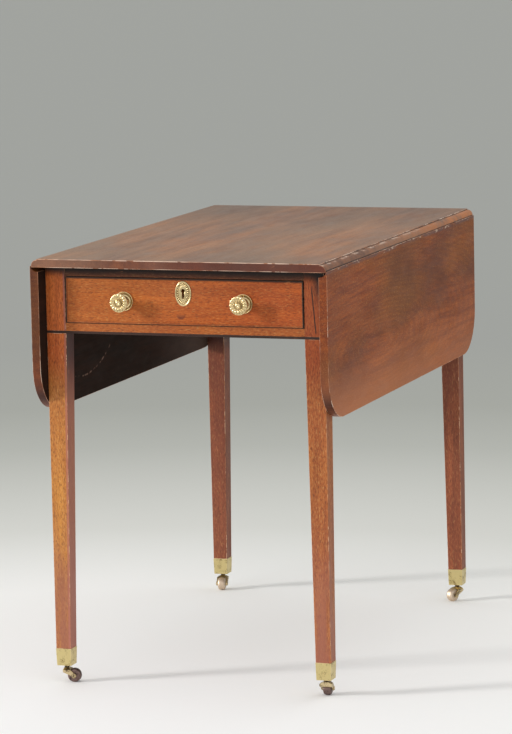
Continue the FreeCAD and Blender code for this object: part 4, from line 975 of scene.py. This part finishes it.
def addKeyPlate(bm):
    hollow = bm.faces.layers.float.new("hollow")
    angles = turns(keyPlate["segments"])
    keyhole = [keyholePoint(angle) for angle in angles]
    base = plateRing(bm, [ovalPoint(angle, 0) for angle in angles], 0)
    under = plateRing(bm, keyhole, 0)
    bmesh.ops.bridge_loops(bm, edges=base + under)
    ring = base
    for inset, height in keyPlate["steps"]:
        following = plateRing(bm, [ovalPoint(angle, inset) for angle in angles], height)
        made = bmesh.ops.bridge_loops(bm, edges=ring + following)
        inField = keyPlate["fieldFrom"] < inset < keyPlate["fieldTo"]
        for face in made["faces"]:
            face[hollow] = keyPlate["fieldDirt"] if inField else 0.0
        ring = following
    faceHeight = keyPlate["steps"][-1][1]
    lip = plateRing(bm, [keyholePoint(angle, keyPlate["lip"]) for angle in angles], faceHeight)
    mouth = plateRing(bm, keyhole, faceHeight - keyPlate["lipDrop"])
    bmesh.ops.bridge_loops(bm, edges=ring + lip)
    for first, second in ((lip, mouth), (mouth, under)):  # the key has worn the lip, and it keeps the dirt
        for face in bmesh.ops.bridge_loops(bm, edges=first + second)["faces"]:
            face[hollow] = 1.0
    bmesh.ops.recalc_face_normals(bm, faces=bm.faces)
    size = keyPlate["beadSize"]
    for angle in turns(keyPlate["beads"]):
        bead = ovalPoint(angle, keyPlate["beadInset"])
        addLump(bm, (bead + Vector((0, 0, keyPlate["beadHeight"]))) * mm, (size, size, size))
    for angle in turns(keyPlate["rays"], math.pi / keyPlate["rays"]):
        ray = ovalPoint(angle, keyPlate["rayInset"])
        lean = math.atan2(ray.y * keyPlate["rayLean"], ray.x)
        where = (ray + Vector((0, 0, keyPlate["rayHeight"]))) * mm
        addLump(bm, where, keyPlate["raySize"], lean, keyPlate["rayFine"])


plateLow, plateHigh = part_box("escutcheon")
plateMiddle = (plateLow + plateHigh) / 2
bm = bmesh.new()
addKeyPlate(bm)
upright = Matrix.Rotation(math.pi / 2, 4, "X")  # the plate's own Y stands up, and its face looks forward
inPlace = Matrix.Translation((plateMiddle.x, plateHigh.y, plateMiddle.z)) @ upright
bmesh.ops.transform(bm, matrix=inPlace, verts=bm.verts)
shadeByAngle(bm, brassShade)
finishPiece("escutcheonPlate", bm, ["escutcheon"], ["giltBrass"])
print("escutcheon made")


# floor, light and camera

studio = {
    "floorSize": 120.0, "floorRough": 0.9, "floorShine": 0.1, "farTone": tone(160, 162, 158),
    # the floor's colour is a painted pool of light: near white round the table, fading to grey further off
    "pool": [(0.0, tone(247, 247, 247)), (0.09, tone(237, 238, 236)), (0.15, tone(205, 206, 201)),
             (0.25, tone(171, 173, 167)), (0.31, tone(158, 160, 154)), (0.42, tone(153, 155, 151))],
    "poolCentre": (-0.1, -0.5, 0.0), "poolReach": 10.0,
    "fill": (0.9, 0.9, 0.9, 1.0), "frontGlow": (1.0, 1.0, 1.0, 1.0), "frontRise": (0.1, -0.7),
    "keyFrom": (-0.874, -0.486, 0.30), "keyStrength": 2.2, "keyAngle": 10.0, "keyColour": (1.0, 0.985, 0.96),
}


def makeFloor():
    bm = bmesh.new()
    bmesh.ops.create_grid(bm, x_segments=1, y_segments=1, size=studio["floorSize"] / 2)
    mesh = meshOf("floor", bm)
    floor = newObject("floor", mesh)
    material, tree, shader, here = newFinish("floorPaper")
    # painted light: the floor's colour falls off with distance from the pool's centre
    feeds = {0: here, 1: studio["poolCentre"]}
    reach = place(tree, "VectorMath", feeds, operation="DISTANCE").outputs["Value"]
    ramp = place(tree, "ValToRGB", {0: calc(tree, "DIVIDE", reach, studio["poolReach"])})
    steps = ramp.color_ramp.elements
    while len(steps) < len(studio["pool"]):
        steps.new(1.0)
    for step, (position, colour) in zip(steps, studio["pool"]):
        step.position = position
        step.color = colour
    connect(tree, ramp.outputs["Color"], shader.inputs["Base Color"])
    shader.inputs["Roughness"].default_value = studio["floorRough"]
    shader.inputs["Specular IOR Level"].default_value = studio["floorShine"]
    clear = place(tree, "BsdfTransparent")
    facing = place(tree, "NewGeometry").outputs["Backfacing"]
    both = place(tree, "MixShader", {0: facing, 1: shader.outputs[0], 2: clear.outputs[0]})
    connect(tree, both.outputs[0], tree.nodes["Material Output"].inputs["Surface"])
    mesh.materials.append(material)


def makeLight():
    key = bpy.data.lights.new("key", "SUN")
    key.energy = studio["keyStrength"]
    key.angle = math.radians(studio["keyAngle"])
    key.color = studio["keyColour"]
    lamp = newObject("key", key)
    lamp.rotation_mode = "QUATERNION"
    lamp.rotation_quaternion = Vector(studio["keyFrom"]).to_track_quat("Z", "Y")
    world = bpy.data.worlds.new("studio")
    world.use_nodes = True
    bpy.context.scene.world = world
    tree = world.node_tree
    background = tree.nodes["Background"]
    path = place(tree, "LightPath").outputs
    ahead = axes(tree, place(tree, "TexCoord").outputs["Generated"])[1]
    inFront = span(tree, ahead, *studio["frontRise"])
    mirrored = blendTone(tree, inFront, studio["farTone"], studio["frontGlow"])  # for the brass to reflect
    colour = blendTone(tree, path["Is Camera Ray"], studio["fill"], studio["farTone"])
    connect(tree, blendTone(tree, path["Is Glossy Ray"], colour, mirrored), background.inputs["Color"])


lens = {
    "millimetres": 180.09, "sensor": 36.0, "place": (2.03363, -5.91738, 1.38742),
    "azimuth": 19.119, "elevation": 8.267, "roll": -1.215,
}


def makeCamera():
    azimuth, elevation, roll = (math.radians(lens[name]) for name in ("azimuth", "elevation", "roll"))
    level = math.cos(elevation)
    back = Vector((math.sin(azimuth) * level, -math.cos(azimuth) * level, math.sin(elevation)))
    right = Vector((math.cos(azimuth), math.sin(azimuth), 0))
    up = back.cross(right)
    leaned = right * math.cos(roll) + up * math.sin(roll)
    upright = up * math.cos(roll) - right * math.sin(roll)
    data = bpy.data.cameras.new("camera")
    data.lens = lens["millimetres"]
    data.sensor_width = lens["sensor"]
    camera = newObject("camera", data)
    turn = Matrix((leaned, upright, back)).transposed().to_4x4()
    camera.matrix_world = Matrix.Translation(lens["place"]) @ turn
    bpy.context.scene.camera = camera


makeFloor()
makeLight()
makeCamera()
bpy.context.scene.view_settings.view_transform = "Standard"
print("stage made")
